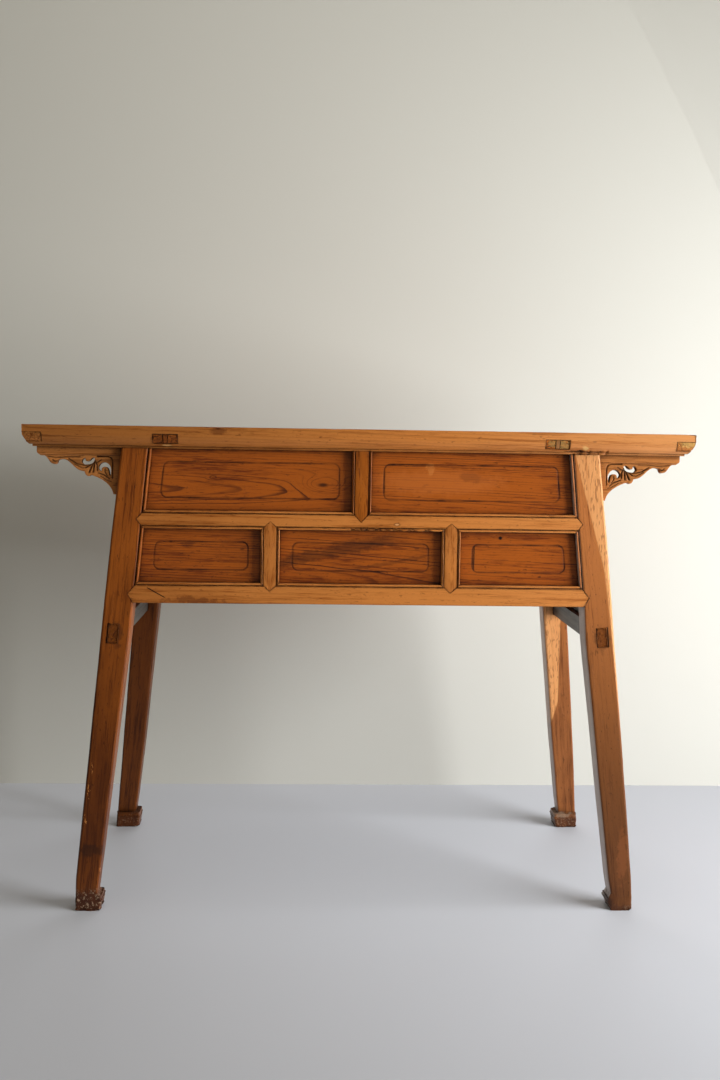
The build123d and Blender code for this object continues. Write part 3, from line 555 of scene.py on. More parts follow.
def rough_end(inside, step, depth, seed):
    """Work that breaks up the end grain in a region into small uneven facets, sunk by up to a depth."""
    def work_on(work):
        def picked():
            return [v for f in work.faces if inside(f.calc_center_median()) for v in f.verts]

        for axis in (X, Z):
            spots = [v.co[axis] for v in picked()]
            slice_faces(work, axis, min(spots) + step, max(spots), step, inside)
        work.normal_update()
        for vert in set(picked()):
            dent = 0.5 + 0.8 * noise.noise(vert.co * 330 + Vector((seed, seed, 0)))
            vert.co -= vert.normal * depth * max(0.0, min(1.0, dent))
    return work_on


def at_top_edges(place, depth):
    """Whether a place lies within a depth of the front or rear edge of the top."""
    return abs(place.y) > -FRONT_EDGE - depth


# ---- the top
TORN_LIP = (0.369, 0.442)  # where the lower lip of the front edge has splintered
# x of each splinter, its reach along the edge and its depth in mm
LIP_BITES = ((0.385, 16, 3.0), (0.398, 9, 6.0), (0.414, 7, 4.6), (0.432, 12, 3.4), (0.447, 5, 4.2))
NICKS = (-0.33, -0.2605, 0.12, -0.05)
CORNER_BRUISE = 9 * MM
TONGUE_X = 0.565  # the end rails' tongues lie past this
KNOTS_FRONT_EDGE = (
    ((-0.2605, FRONT_EDGE, 0.877), 5 * MM), ((-0.4103, FRONT_EDGE, 0.8475), 3 * MM),
    ((0.3239, FRONT_EDGE, 0.8713), 2.5 * MM), ((0.4231, FRONT_EDGE, 0.8638), 4 * MM),
)
TOP_FRONT_MARKS = (
    # painted shade toward the left end and painted light toward the right end, as the window's light falls
    # off
    painted_light_and_shade_along("X", -0.6, 0.2, 0.62, 1.0),
    painted_light_toward_end("X", 0.1, 0.62, 0.6),
    crack((0.366, 0.8455), (0.452, 0.846), 0.9 * MM, 4 * MM),
    crack((-0.60, 0.862), (-0.44, 0.858), 0.4 * MM, 5 * MM, 0.5),
    *blots(
        FRONT_EDGE, 30,
        (0.398, 0.845, 16, 5, srgb(70, 34, 16), 0.8, 0.6),
        (0.408, 0.852, 8, 5, srgb(214, 178, 112), 0.7, 0.6),
        (-0.2605, 0.872, 18, 9, OLD_OIL, 0.6, 0.4),
        (-0.3565, 0.854, 29, 13, OLD_OIL, 0.5, 0.5),
        (-0.352, 0.8455, 12, 2, srgb(226, 178, 110), 0.7, 0.5),
        (0.3565, 0.856, 28, 12, srgb(150, 88, 42), 0.45, 0.5),
    ),
)
# Both stains lie on the right, where they make the end grain paler.
PALE_TONGUE = stain((0.598, FRONT_EDGE, 0.863), mm(22, 8, 14), srgb(204, 168, 96), 0.6, 0.7)
PALE_TENON = stain((0.358, FRONT_EDGE, 0.857), mm(24, 20, 18), srgb(186, 150, 84), 0.55, 0.9)


def battered_edge(work):
    """Splinter the lower lip of the front edge, and bruise its corners and its upper arris."""
    slice_faces(work, X, TORN_LIP[0] - 14 * MM, TORN_LIP[1] + 10 * MM, 1.6 * MM)
    for x, reach, depth in LIP_BITES:
        place = (x, FRONT_EDGE + 6 * MM, UNDERSIDE + 2.5 * MM)
        knocked(work, place, mm(reach, 14, 6), mm(0, depth, 0.6 * depth), x)
    for sign in (-1, 1):
        corner = (sign * BOX_HIGH.x, FRONT_EDGE, TOP_HIGH.z)
        knocked(work, corner, (CORNER_BRUISE,) * 3, mm(-2.2 * sign, 2.2, -2.6), sign)
    for x in NICKS:
        knocked(work, (x, FRONT_EDGE, TOP_HIGH.z), mm(14, 7, 5), mm(0, 1.2, -1.1), x)


joinery("top_front_rail", "top_wood", X, HONEY, work_on=battered_edge, pith=(0.1, -0.12, 0.74),
        tilt=(0.02, 0.015), lines=0.3, seed=1.3, knots=KNOTS_FRONT_EDGE, marks=TOP_FRONT_MARKS)
joinery("top_rear_rail", "top_wood", X, HONEY, pith=(0.1, 0.12, 0.78), tilt=(-0.015, 0.02), lines=0.35,
        seed=2.1)
for side, sign, end_shade in (("left", -1, 0.6), ("right", 1, 1.1)):
    rough = rough_end(lambda c: at_top_edges(c, 12 * MM) and abs(c.x) > TONGUE_X, 1.6 * MM, 1.1 * MM, sign)
    joinery(f"top_{side}_end", "top_wood", Y, HONEY, work_on=rough, pith=(sign * 0.5, 0, 0.8), tilt=(0.02, 0),
            lines=0.35, seed=3 + sign, end_shade=end_shade, marks=(PALE_TONGUE,))
for part, y, seed in (("front", -0.03, 5.2), ("rear", 0.09, 6.9)):
    joinery(f"top_board_{part}", "top_wood", X, HONEY, pith=(0.2, y, 0.79), tilt=(0.03, 0.01), lines=0.45,
            seed=seed, step=30 * MM)
for side, sign, end_shade in (("left", -1, 0.95), ("right", 1, 1.7)):
    rough = rough_end(lambda c: at_top_edges(c, 9 * MM) and c.z > UNDERSIDE, 1.6 * MM, 1.2 * MM, 5 * sign)
    joinery(f"top_batten_{side}", "bare_wood", Y, UMBER, work_on=rough, pith=(sign * 0.35, 0, 0.8),
            seed=34 + sign, end_shade=end_shade, marks=(PALE_TENON,))
joinery("batten_wedges", "wedge_wood", Y, UMBER, seed=80, marks=(pale_on_right,))

# ---- legs
FOOT_TOP = 42 * MM
TOE_TOP = 31 * MM
FLOOR_X, FLOOR_Y = LEG_HIGH.x, -LEG_LOW.y
ANKLE = 39 * MM  # width of a leg just above its toe
SHOULDER = 0.555  # height at which a leg meets the rails
SHOULDER_WIDTH = 50 * MM
LEAN = (0.0917, 0.0702)  # outward travel per height, across and along the table's depth

FRONT_LEFT_MARKS = (
    stain((-0.4436, -0.2236, 0.5039), mm(17, 20, 27), SMOKE, 0.5, 0.5),
    stain((-0.483, -0.251, 0.112), mm(40, 30, 13), SMOKE, 0.6, 0.7),
    worn_through((-0.465, -0.254, 0.072), mm(8, 20, 44)),
    worn_through((-0.484, -0.241, 0.262), mm(9, 20, 26)),
    worn_through((-0.489, -0.244, 0.222), mm(10, 20, 34)),
    worn_through((-0.494, -0.247, 0.166), mm(7, 20, 34)),
)
FRONT_RIGHT_MARKS = (
    # painted reflection: the leg's inner side is paled to grey
    bare_or_reflecting_side((-1.0, 0.0, 0.0), WALL_REFLECTION, 0.85),
    sapwood_or_light_patch(((0.4043, 0, 0.794), (0.966, 0, 0.2587))),
    sapwood_or_light_patch(((0.4712, 0, 0.45), (0.9923, 0, 0.1237)), blur=2 * MM, waver=3 * MM),
    stain((0.463, -0.25, 0.016), mm(16, 40, 20), SMOKE, 0.8, 0.4),
    stain((0.4465, -0.2238, 0.5008), mm(17, 20, 27), SMOKE, 0.45, 0.5),
    stain((0.492, -0.254, 0.10), mm(12, 20, 70), srgb(150, 86, 46), 0.3, 0.5),
)
REAR_LEFT_MARKS = (
    worn_through((-0.400, 0.19, 0.237), mm(24, 30, 22)),
    stain((-0.38, 0.19, 0.42), mm(26, 20, 60), SMOKE, 0.35, 0.8),
)
REAR_RIGHT_MARKS = (
    # painted light: a patch of window light on the leg's front, narrowing toward the floor
    sapwood_or_light_patch(((0.4555, 0, 0.4), (-1, 0, -0.02)), ((0.4468, 0, 0.245), (-1, 0, 0.25)), waver=4 * MM),
    # painted reflection: the leg's inner side is paled to grey
    bare_or_reflecting_side((-1.0, 0.0, 0.0), WALL_REFLECTION, 0.7),
    stain((0.47, 0.2, 0.027), mm(40, 60, 7), srgb(164, 142, 120), 0.7, 0.6),
)

# stand of the drawn toe past the ankle, at the floor, at its swell and at its top
TOE_HEIGHTS = mm(0, 23, 31)
CUT_TOE = mm(7, 12, 8)
# heights at which a leg's own width is given
STOUT_HEIGHTS = (0, 0.06, 0.2, 0.5, 0.56, 0.68, 0.84)


def stouter(work, x, outward, inward):
    """Move a leg's outer and inner sides apart, by height."""
    for vert in work.verts:
        height = vert.co.z
        half = np.interp(height, (TOE_TOP, SHOULDER), (ANKLE / 2, SHOULDER_WIDTH / 2))
        side = (x * vert.co.x - (FLOOR_X - LEAN[0] * height - half)) / half
        stand = outward if side > 0 else inward
        vert.co.x += x * max(-1.0, min(1.0, side)) * np.interp(height, STOUT_HEIGHTS, stand) * MM


def battered(work, x, y, bite, toe):
    """Wear a leg's foot: a rubbed-down toe, blunt corners and bruises that deepen toward the floor."""
    def in_foot(c):
        return c.z < FOOT_TOP

    slice_faces(work, Z, 1.5 * MM, FOOT_TOP, 2.5 * MM, in_foot)
    for axis in (X, Y):
        spots = [v.co[axis] for v in work.verts if v.co.z < FOOT_TOP]
        slice_faces(work, axis, min(spots) + 3 * MM, max(spots), 3 * MM, in_foot)
    work.normal_update()
    toe_top, worn_toe = toe
    for vert in work.verts:
        if vert.co.z > FOOT_TOP:
            continue
        low = 1 - vert.co.z / FOOT_TOP
        rough = max(0.0, 0.25 + 0.9 * noise.noise(vert.co * 70 + Vector((x, y, 0)) * 7))
        fine = max(0.0, 0.3 + noise.noise(vert.co * 230))
        bruise = vert.normal * bite * low * (rough + 0.45 * fine)
        cut_stand = np.interp(vert.co.z, TOE_HEIGHTS, CUT_TOE)
        worn_stand = np.interp(vert.co.z, TOE_HEIGHTS, worn_toe) * MM
        past = (FLOOR_X - ANKLE - LEAN[0] * vert.co.z - x * vert.co.x,
                FLOOR_Y - ANKLE - LEAN[1] * vert.co.z - y * vert.co.y)
        vert.co.x -= x * max(0.0, past[0]) * (worn_stand / cut_stand - 1)
        vert.co.y -= y * max(0.0, past[1]) * (worn_stand / cut_stand - 1)
        vert.co.z *= 1 - (1 - toe_top * MM / TOE_TOP) * min(1.0, max(0.0, *past) / (4 * MM))
        vert.co -= bruise
    for corner_x, size, toward in ((FLOOR_X, 9 * MM, -1), (FLOOR_X - ANKLE - CUT_TOE[0], 6 * MM, 1)):
        push = (0.4 * x * toward * size, 0, 0.35 * size)
        knocked(work, (x * corner_x, y * FLOOR_Y, 0), (size, 60 * MM, size), push)


def worn_leg(end, side, palette, marks, painted_shade_shares, bite, toe, scuff, outward, inward):
    """One leg with its own wood, width and wear: the shares of its tone at the foot and under the top, as
    painted shade and light, the depth of the foot's bruises, the height and stands of its toe in mm, the
    height, share and chalk of its stained foot, and how far its outer and inner sides stand out past the
    drawn ones in mm."""
    x, y = (-1 if side == "left" else 1), (-1 if end == "front" else 1)

    def work_on(work):
        battered(work, x, y, bite, toe)
        stouter(work, x, outward, inward)

    joinery(f"leg_{end}_{side}", "frame_wood", Z, palette, step=12 * MM, work_on=work_on,
            grain=(-x * LEAN[0], -y * LEAN[1], 1), pith=(x * 0.54, y * 0.14, 0), tilt=(0.006, 0.012),
            lines=0.1, ring=4 * MM, late_share=0.4, wander=6 * MM, seed=10 + 3 * x + y,
            marks=(painted_light_and_shade_along("Z", 0.1, 0.85, *painted_shade_shares), *marks, scuffed_foot(*scuff)))


# The shares along each leg are painted shade and light; the left legs, away from the window, take the darker
# UMBER, partly as painted shade.
worn_leg("front", "left", UMBER, FRONT_LEFT_MARKS, painted_shade_shares=(0.6, 1.15), bite=3.0 * MM, toe=(26, (9, 9, 6)),
         scuff=(40 * MM, 0.85, 0.8), outward=(0, 3.2, 3.4, 3.2, 3.2, 2.6, 0), inward=(0, 0, 0, 0.6, 0, 0, 0))
worn_leg("front", "right", CHESTNUT, FRONT_RIGHT_MARKS, painted_shade_shares=(0.34, 1.28), bite=2.0 * MM, toe=(22, (3, 7, 4)),
         scuff=(10 * MM, 0.6, 0.2), outward=(0, 2.4, 3.2, 3.8, 4, 3.6, 1), inward=(0, 3.6, 4, 3.4, 0, 0, 0))
worn_leg("rear", "left", UMBER, REAR_LEFT_MARKS, painted_shade_shares=(0.44, 0.63), bite=1.4 * MM, toe=(31, (12, 12, 9)),
         scuff=(34 * MM, 0.45, 0.25), outward=(0, 0, 0, 0, 0, 0, 0), inward=(0, 2.5, 4.5, 4.5, 0, 0, 0))
worn_leg("rear", "right", CHESTNUT, REAR_RIGHT_MARKS, painted_shade_shares=(0.76, 1.34), bite=1.8 * MM, toe=(29, (11, 12, 9)),
         scuff=(30 * MM, 0.75, 0.35), outward=(0, 0.8, 1.8, 0.5, 0, 0, 0), inward=(0, 2.5, 4.5, 4.5, 0, 0, 0))

# ---- front rails and stiles
MIDDLE_LOW, MIDDLE_HIGH = (corner.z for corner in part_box("front_middle_rail"))
BEAD_Y = -0.209  # front of the middle rail's lower bead
UPPER_BEAD_Y = -0.207
CHIPPED_BEAD = (-0.025, 0.132)  # from where to where the lower bead is chipped
# x of each chip, its reach along the bead and its depth in mm
BEAD_CHIPS = (
    (-0.014, 9, 5.0), (0.004, 12, 3.6), (0.028, 10, 5.4), (0.046, 9, 3.6), (0.064, 11, 5.0), (0.092, 12, 3.0),
    (0.12, 10, 2.6),
)
UPPER_CHIP_X = 0.346
FORWARD = Vector((0, -1, 0))
CROWN = 1.1 * MM  # how far the middle of a stile stands proud of its sides
CROWN_STRIP = 2 * MM
CROWN_ROW = 4 * MM


def chipped_bead(work):
    """Chip the beads of the middle rail."""
    slice_faces(work, X, CHIPPED_BEAD[0] - 6 * MM, CHIPPED_BEAD[1] + 6 * MM, 1.5 * MM)
    slice_faces(work, X, UPPER_CHIP_X - 11 * MM, UPPER_CHIP_X + 12 * MM, 1.5 * MM)
    for x, reach, depth in BEAD_CHIPS:
        knocked(work, (x, BEAD_Y, MIDDLE_LOW + 1 * MM), mm(reach, 8, 6), mm(0, 0.9 * depth, 1.2 * depth), x)
    knocked(work, (UPPER_CHIP_X, UPPER_BEAD_Y, MIDDLE_HIGH - 1 * MM), mm(9, 8, 4), mm(0, 2.0, -1.6), 3.0)


def crowned(work):
    """Plane a stile's front slightly round from side to side, so that its middle stands proud."""
    face = max(work.faces, key=lambda f: f.calc_area() * max(0.0, f.normal.dot(FORWARD)))
    normal, base = face.normal.copy(), face.verts[0].co.copy()

    def on_face(c):
        return abs((c - base).dot(normal)) < 0.05 * MM

    spots = [v.co.x for v in face.verts]
    slice_faces(work, X, min(spots), max(spots), CROWN_STRIP, on_face)
    flat = [v for v in work.verts if on_face(v.co)]
    rows = {}
    for vert in flat:
        rows.setdefault(round(vert.co.z / CROWN_ROW), []).append(vert.co.x)
    for vert in flat:
        spots = rows[round(vert.co.z / CROWN_ROW)]
        half = max(CROWN_STRIP, (max(spots) - min(spots)) / 2)
        away = min(1.0, abs(vert.co.x - (max(spots) + min(spots)) / 2) / half)
        vert.co -= normal * CROWN * away ** 3


MIDDLE_MARKS = (
    # painted shade toward the left end and painted light toward the right end, as the window's light falls
    # off
    painted_light_and_shade_along("X", -0.5, 0.2, 0.88, 1.0),
    painted_light_toward_end("X", 0.1, 0.6, 0.28),
    *blots(
        -0.21, 10,
        (0.0652, 0.7077, 8, 4, BRUISE, 0.7, 0.2),
        (0.0652, 0.7077, 5, 2.2, srgb(226, 170, 110), 0.8, 0.15),
        (0.02, 0.697, 50, 4, BRUISE, 0.6, 0.5),
    ),
    *blots(-0.211, 14, *((x, 0.6955, reach, 3.4, SMOKE, 0.9, 0.7) for x, reach in (
        (-0.016, 9), (0.008, 5), (0.030, 8), (0.062, 10), (0.095, 4), (0.12, 6)))),
)
LOWER_MARKS = (
    # painted shade toward the left end and painted light toward the right end, as the window's light falls
    # off
    painted_light_and_shade_along("X", -0.5, 0.2, 0.86, 1.0),
    painted_light_toward_end("X", 0.1, 0.6, 0.28),
    crack((-0.3886, 0.5894), (-0.3506, 0.5681), 1.5 * MM, 2.5 * MM, 1.0),
    stain((-0.30, -0.22, 0.566), mm(70, 12, 7), srgb(96, 46, 20), 0.55, 0.9),
)
for height, pith, seed, marks, work_on in (
    ("middle", (0, -0.14, 0.66), 20.0, MIDDLE_MARKS, chipped_bead),
    ("lower", (0, -0.15, 0.52), 21.5, LOWER_MARKS, None),
):
    joinery(f"front_{height}_rail", "frame_wood", X, HONEY, step=10 * MM, arris=1.3 * MM, work_on=work_on,
            pith=pith, tilt=(0.01, 0.012), lines=0.3, seed=seed, marks=marks)
for node, x, seed, palette in (
    ("front_centre_stile", 0.01, 23.0, AMBER), ("front_lower_stile_left", -0.16, 24.0, HONEY),
    ("front_lower_stile_right", 0.17, 25.0, HONEY),
):
    joinery(node, "frame_wood", Z, palette, step=4 * MM, arris=1.2 * MM, work_on=crowned,
            pith=(x, -0.15, 0.7), lines=0.35, seed=seed)

# ---- side frames and back
TENON_Y = 0.2175  # the side rails' tenons show past this, in the legs' faces

for side, sign in (("left", -1), ("right", 1)):
    bare_inside = bare_or_reflecting_side((-float(sign), 0.0, 0.0))
    rough = rough_end(lambda c: abs(c.y) > TENON_Y, 1.8 * MM, 1.2 * MM, 3 * sign)
    joinery(f"side_rail_{side}", "frame_wood", Y, AMBER, work_on=rough, pith=(sign * 0.4, 0, 0.48),
            seed=30 + sign, end_shade=0.5, marks=(bare_inside,))
    joinery(f"side_panel_{side}", "panel_wood", Z, RUSSET, pith=(sign * 0.38, 0.03, 0.6), tilt=(0.03, 0.02),
            seed=32 + sign, marks=(bare_inside,))
for node, z, seed in (
    ("rear_middle_rail", 0.7, 60), ("rear_lower_rail", 0.56, 61), ("rear_panel_upper", 0.8, 62),
    ("rear_panel_lower", 0.66, 63),
):
    joinery(node, "rear_wood", X, UMBER, step=20 * MM, pith=(0, 0.15, z), tilt=(0.03, 0.03), seed=seed,
            wear=0.15, roughness=0.55, marks=(bare_or_reflecting_side((0.0, -1.0, 0.0)),))

# ---- front panels
PANEL_KNOTS = {
    "upper_left": (((-0.0705, -0.188, 0.7773), 10 * MM), ((-0.2712, -0.188, 0.7872), 2.5 * MM)),
    "lower_left": (((-0.3463, -0.196, 0.6698), 3 * MM),),
    "lower_right": (((0.2571, -0.195, 0.6844), 4 * MM),),
}
PANEL_MARKS = {
    "lower_centre": (
        crack((-0.175, 0.628), (0.09, 0.688), 15 * MM, 30 * MM, 0.5),
        crack((-0.02, 0.622), (0.15, 0.655), 5 * MM, 16 * MM, 0.35),
    ),
    "upper_right": (
        stain((0.14, -0.188, 0.785), mm(150, 40, 30), srgb(186, 102, 40), 0.55, 0.2),
        stain((0.2, -0.188, 0.7939), mm(30, 30, 12), srgb(80, 34, 12), 0.35, 0.5),
        stain((0.1258, -0.188, 0.8075), mm(9, 20, 16), srgb(214, 136, 66), 0.3, 0.7),
    ),
    "lower_right": (
        crack((0.2085, 0.672), (0.2085, 0.620), 1.8 * MM, 4 * MM, 0.85),
        *blots(-0.195, 20, (0.2571, 0.6844, 4.5, 4.5, srgb(14, 7, 5), 1.0, 0.1),
               (0.3308, 0.6139, 5, 2.5, srgb(44, 20, 10), 0.8, 0.2)),
    ),
    "lower_left": blots(-0.196, 20, (-0.3154, 0.6683, 20, 8, srgb(70, 30, 12), 0.45, 0.5)),
}
# how far the heart of the log lies behind a panel and below its middle: close by, the grain makes tongues
LOG_CENTRES = {"upper_left": (0.035, 0.02), "lower_centre": (0.05, 0.055)}
USUAL_LOG_CENTRE = (0.03, 0.10)

LEVEL_TICK = 0.05 * MM  # heights on a panel are told apart this finely
FIELD_SLOPE = 5.0 * MM  # width of the soft rise from the ground to the field
FIELD_LIFT = 1.5  # how much prouder the hand-cut field stands than the drawn one
QUIRK = 0.5 * MM  # depth of the line cut round the field
RIDGE_AT = 2.6 * MM  # how far inside that line the rise is palest, as wear and a painted highlight
RIDGE_WIDTH = 1.1 * MM
CORNER_LEAN = 9 * MM  # sideways travel of a field's leaning ends, from top to bottom
SHALLOW_FIELDS = {"lower_centre": 0.55}


def turn_of(a, b, c):
    return (b[0] - a[0]) * (c[1] - a[1]) - (b[1] - a[1]) * (c[0] - a[0])


def convex(points):
    """The outer outline of points, clockwise."""
    points = sorted(set((round(x, 6), round(z, 6)) for x, z in points))
    chains = []
    for run in (points, points[::-1]):
        chain = []
        for p in run:
            while len(chain) > 1 and turn_of(chain[-2], chain[-1], p) >= 0:
                chain.pop()
            chain.append(p)
        chains.append(chain[:-1])
    return chains[0] + chains[1]


def outline_gap(x, z, outline):
    """How far a place lies inside a convex outline; less than 0 outside it."""
    nearest, inside = 1.0, True
    for (x0, z0), (x1, z1) in zip(outline, outline[1:] + outline[:1]):
        dx, dz = x1 - x0, z1 - z0
        along = min(1.0, max(0.0, ((x - x0) * dx + (z - z0) * dz) / (dx * dx + dz * dz)))
        nearest = min(nearest, ((x - x0 - along * dx) ** 2 + (z - z0 - along * dz) ** 2) ** 0.5)
        inside = inside and (x - x0) * dz - (z - z0) * dx <= 0
    return nearest if inside else -nearest


def sliced_ground(corners, outline):
    """A flat face between corners, cut finely where the field's outline will rise from it."""
    work = bmesh.new()
    work.faces.new([work.verts.new(corner) for corner in corners])
    work.normal_update()
    for axis, spots in ((X, [p[0] for p in outline]), (Z, [p[1] for p in outline])):
        far_low, far_high = min(c[axis] for c in corners), max(c[axis] for c in corners)
        reach = 14 * MM + (CORNER_LEAN if axis == X else 0)
        stations = set(np.arange(far_low + 4 * MM, far_high, 8 * MM))
        for edge, inward in ((min(spots), 1), (max(spots), -1)):
            near = sorted((edge - inward * 4 * MM, edge + inward * reach))
            stations |= set(np.arange(near[0], near[1], 1 * MM))
        for place in sorted(stations):
            slice_faces(work, axis, place, place + 1 * MM, 2 * MM)
    return work


def carve_field(work, outline, ahead, rise):
    """Raise the field inside its outline by a soft slope, with a line cut round its foot."""
    cut_and_shade = work.verts.layers.float.new(CUT_AND_SHADE)
    rubbed_and_highlit = work.verts.layers.float.new(RUBBED_AND_HIGHLIT)
    for vert in work.verts:
        x, z = vert.co.x, vert.co.z
        gap = outline_gap(x, z, outline) + 0.7 * MM * noise.noise((x * 45, z * 45, 3.1))
        share_up = min(1.0, max(0.0, gap / FIELD_SLOPE))
        up = rise * share_up * share_up * (3 - 2 * share_up)
        line = float(np.exp(-((gap + 0.3 * MM) / (1.0 * MM)) ** 2))
        ridge = float(np.exp(-((gap - RIDGE_AT) / RIDGE_WIDTH) ** 2))
        # the line round the field's foot is darkened, as dirt and painted shade
        vert[cut_and_shade] = min(1.0, 1.15 * line * (0.8 + 0.6 * noise.noise((x * 30, z * 30, 1.0))))
        # the rise and a ridge inside its rim are paled, as wear and a painted highlight
        vert[rubbed_and_highlit] = share_up * (0.75 + 0.5 * noise.noise((x * 9, z * 20, 5.0))) + 0.9 * ridge
        vert.co += ahead * (up - QUIRK * line + 0.3 * MM * noise.noise((x * 14, z * 30, 7.7)))


def raised_panel(node, material, share=1.0):
    """A wedged board whose raised field was cut by hand: a soft rise with a line round its foot."""
    solid = cleaned(node)
    back = max((f for f in solid.faces if f.normal.y > 0.5), key=lambda f: f.calc_area())
    ahead = -back.normal
    base = back.verts[0].co

    def level(place):
        return (place - base).dot(ahead)

    def over_back_corner(place):
        return min((place - b.co - ahead * (place - b.co).dot(ahead)).length for b in back.verts) < 0.5 * MM

    spots = [v.co for v in solid.verts]
    ground = min(level(c) for c in spots if level(c) > 2 * MM and over_back_corner(c))
    field_level = round(max(level(c) for c in spots) / LEVEL_TICK) * LEVEL_TICK
    outline = convex([(c.x, c.z) for c in spots if level(c) > ground + 0.4 * MM])

    work = sliced_ground([v.co + ahead * ground for v in back.verts], outline)
    if work.faces[:][0].normal.dot(ahead) < 0:
        bmesh.ops.reverse_faces(work, faces=work.faces[:])
    rim = [e for e in work.edges if len(e.link_faces) == 1]
    carve_field(work, outline, ahead, FIELD_LIFT * share * (field_level - ground))
    grown = bmesh.ops.extrude_edge_only(work, edges=rim)["geom"]
    for vert in (g for g in grown if isinstance(g, bmesh.types.BMVert)):
        vert.co -= ahead * level(vert.co)
    open_edges = [g for g in grown if isinstance(g, bmesh.types.BMEdge) and g.is_boundary]
    bmesh.ops.edgeloop_fill(work, edges=open_edges)
    for vert in work.verts:
        vert.co += settle(vert.co)
    bmesh.ops.recalc_face_normals(work, faces=work.faces)
    solid.free()
    finish_piece(meshed(work, "carved_" + node), node, material)


for i, node in enumerate(n for n in sorted(NODES) if n.startswith("front_panel")):
    low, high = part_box(node)
    middle = (low + high) / 2
    place = node.removeprefix("front_panel_")
    behind, below = LOG_CENTRES.get(place, USUAL_LOG_CENTRE)
    material = wood("elm_" + node, RUSSET, pith=(middle.x + 0.05, middle.y + behind, middle.z - below),
                    tilt=(0.02, 0.036), ring=4.2 * MM, late_share=0.34, wander=11 * MM, lines=0.95, waxed=0.7,
                    seed=40 + 2.7 * i, knots=PANEL_KNOTS.get(place, ()), marks=PANEL_MARKS.get(place, ()))
    raised_panel(node, material, SHALLOW_FIELDS.get(place, 1.0))

# ---- carved spandrels
# Strokes of the carving gouge: their points, as out from the leg and down from the top, then their
# half width and their depth, all in millimetres.
STROKES = (
    (((16.5, 56), (16.5, 25), (18.5, 19.5), (24, 17), (44, 16.6)), 1.5, 1.3),
    (((74, 18), (96, 18.2), (118, 20), (131, 18)), 1.4, 0.9),
    (((47.5, 25), (44, 33), (43.5, 42)), 1.6, 1.6),
    (((48.5, 25.5), (49.5, 35), (50.5, 45)), 1.7, 1.8),
    (((49.5, 26), (53.5, 35), (58, 45.5)), 1.7, 1.8),
    (((50.5, 27), (56, 32.5), (64, 37.5)), 1.6, 1.7),
    (((54, 31.5), (66, 33.5), (80, 30.5), (94, 22)), 1.3, 1.3),
    (((60, 36), (70, 38.5), (84, 31.5)), 1.1, 0.9),
    (((22, 57), (31, 50.5), (42, 46.5)), 1.3, 1.2),
    (((25.5, 52), (30, 45), (30, 39.5)), 1.2, 1.1),
    (((18.5, 62), (24, 60.5), (38, 52.5)), 1.0, 0.8),
    (((36.5, 23), (44.5, 28), (45, 38)), 1.2, 1.1),
    (((112, 24), (118, 27.5), (122, 24)), 1.2, 1.0),
)
STROKE_DEEPER = 1.5
STROKES_STRETCH = 1.02  # the strokes are spread this much along the spandrel
PLAIN_BAND = 13.5  # height in mm of the uncarved band under the top
VOXEL = 0.85 * MM
SMOOTHINGS = 3


def stroke_depth(out, down):
    """Depth of the carving at many points at once, in millimetres."""
    deepest = np.zeros_like(out)
    for points, width, depth in STROKES:
        for (x0, y0), (x1, y1) in zip(points, points[1:]):
            dx, dy = x1 - x0, y1 - y0
            along = np.clip(((out - x0) * dx + (down - y0) * dy) / (dx ** 2 + dy ** 2), 0, 1)
            gap = np.hypot(out - x0 - along * dx, down - y0 - along * dy)
            deepest = np.maximum(deepest, STROKE_DEEPER * depth * np.clip(1 - gap / width, 0, 1) ** 0.8)
    return deepest


def remeshed(node):
    """The node's solid as one even mesh of small faces."""
    block = placed("block", NODES[node].data.copy())
    weld = block.modifiers.new("weld", "WELD")
    weld.merge_threshold = WELD
    grid = block.modifiers.new("grid", "REMESH")
    grid.mode = "VOXEL"
    grid.voxel_size = VOXEL
    evaluated = block.evaluated_get(bpy.context.evaluated_depsgraph_get())
    mesh = bpy.data.meshes.new_from_object(evaluated)
    mesh.name = "carved_" + node
    bpy.data.objects.remove(block)
    return mesh


def relax(mesh):
    """Draw each point toward the middle of its neighbours, and give the new places."""
    count = len(mesh.vertices)
    spots = np.empty(count * 3)
    mesh.vertices.foreach_get("co", spots)
    spots = spots.reshape(-1, 3)
    edges = np.empty(len(mesh.edges) * 2, dtype=np.int64)
    mesh.edges.foreach_get("vertices", edges)
    edges = edges.reshape(-1, 2)
    links = np.bincount(edges.ravel(), minlength=count)[:, None]
    for _ in range(SMOOTHINGS):
        pulled = np.zeros_like(spots)
        np.add.at(pulled, edges[:, 0], spots[edges[:, 1]])
        np.add.at(pulled, edges[:, 1], spots[edges[:, 0]])
        spots += 0.5 * (pulled / links - spots)
    mesh.vertices.foreach_set("co", spots.ravel())
    mesh.update()
    return spots


def carved_spandrel(node, seed):
    mesh = remeshed(node)
    spots = relax(mesh)
    normals = np.array([v.normal[:] for v in mesh.vertices])
    outward = 1.0 if "rear" in node else -1.0
    facing = np.clip(outward * normals[:, Y] * 1.6 - 0.4, 0, 1)
    out = (np.abs(spots[:, X]) - LEG_TOP_X) / MM / STROKES_STRETCH
    down = (UNDERSIDE - spots[:, Z]) / MM
    depth = stroke_depth(out, down) * (down > PLAIN_BAND)
    spots[:, Y] -= outward * depth * facing * MM
    # the carved hollows are darkened by their depth, as dirt and painted shade
    carried = mesh.attributes.new(CUT_AND_SHADE, "FLOAT", "POINT")
    carried.data.foreach_set("value", (np.clip(depth * facing / 1.6, 0, 1) * 0.85).astype(np.float32))
    for spot in spots:
        spot[:] = kept_inside(Vector(spot) + settle(spot))
    mesh.vertices.foreach_set("co", spots.ravel())
    mesh.update()
    material = wood("elm_" + node, CARVED, pith=(0, 0.1, 0.75), lines=0.4, seed=seed)
    finish_piece(mesh, node, material)


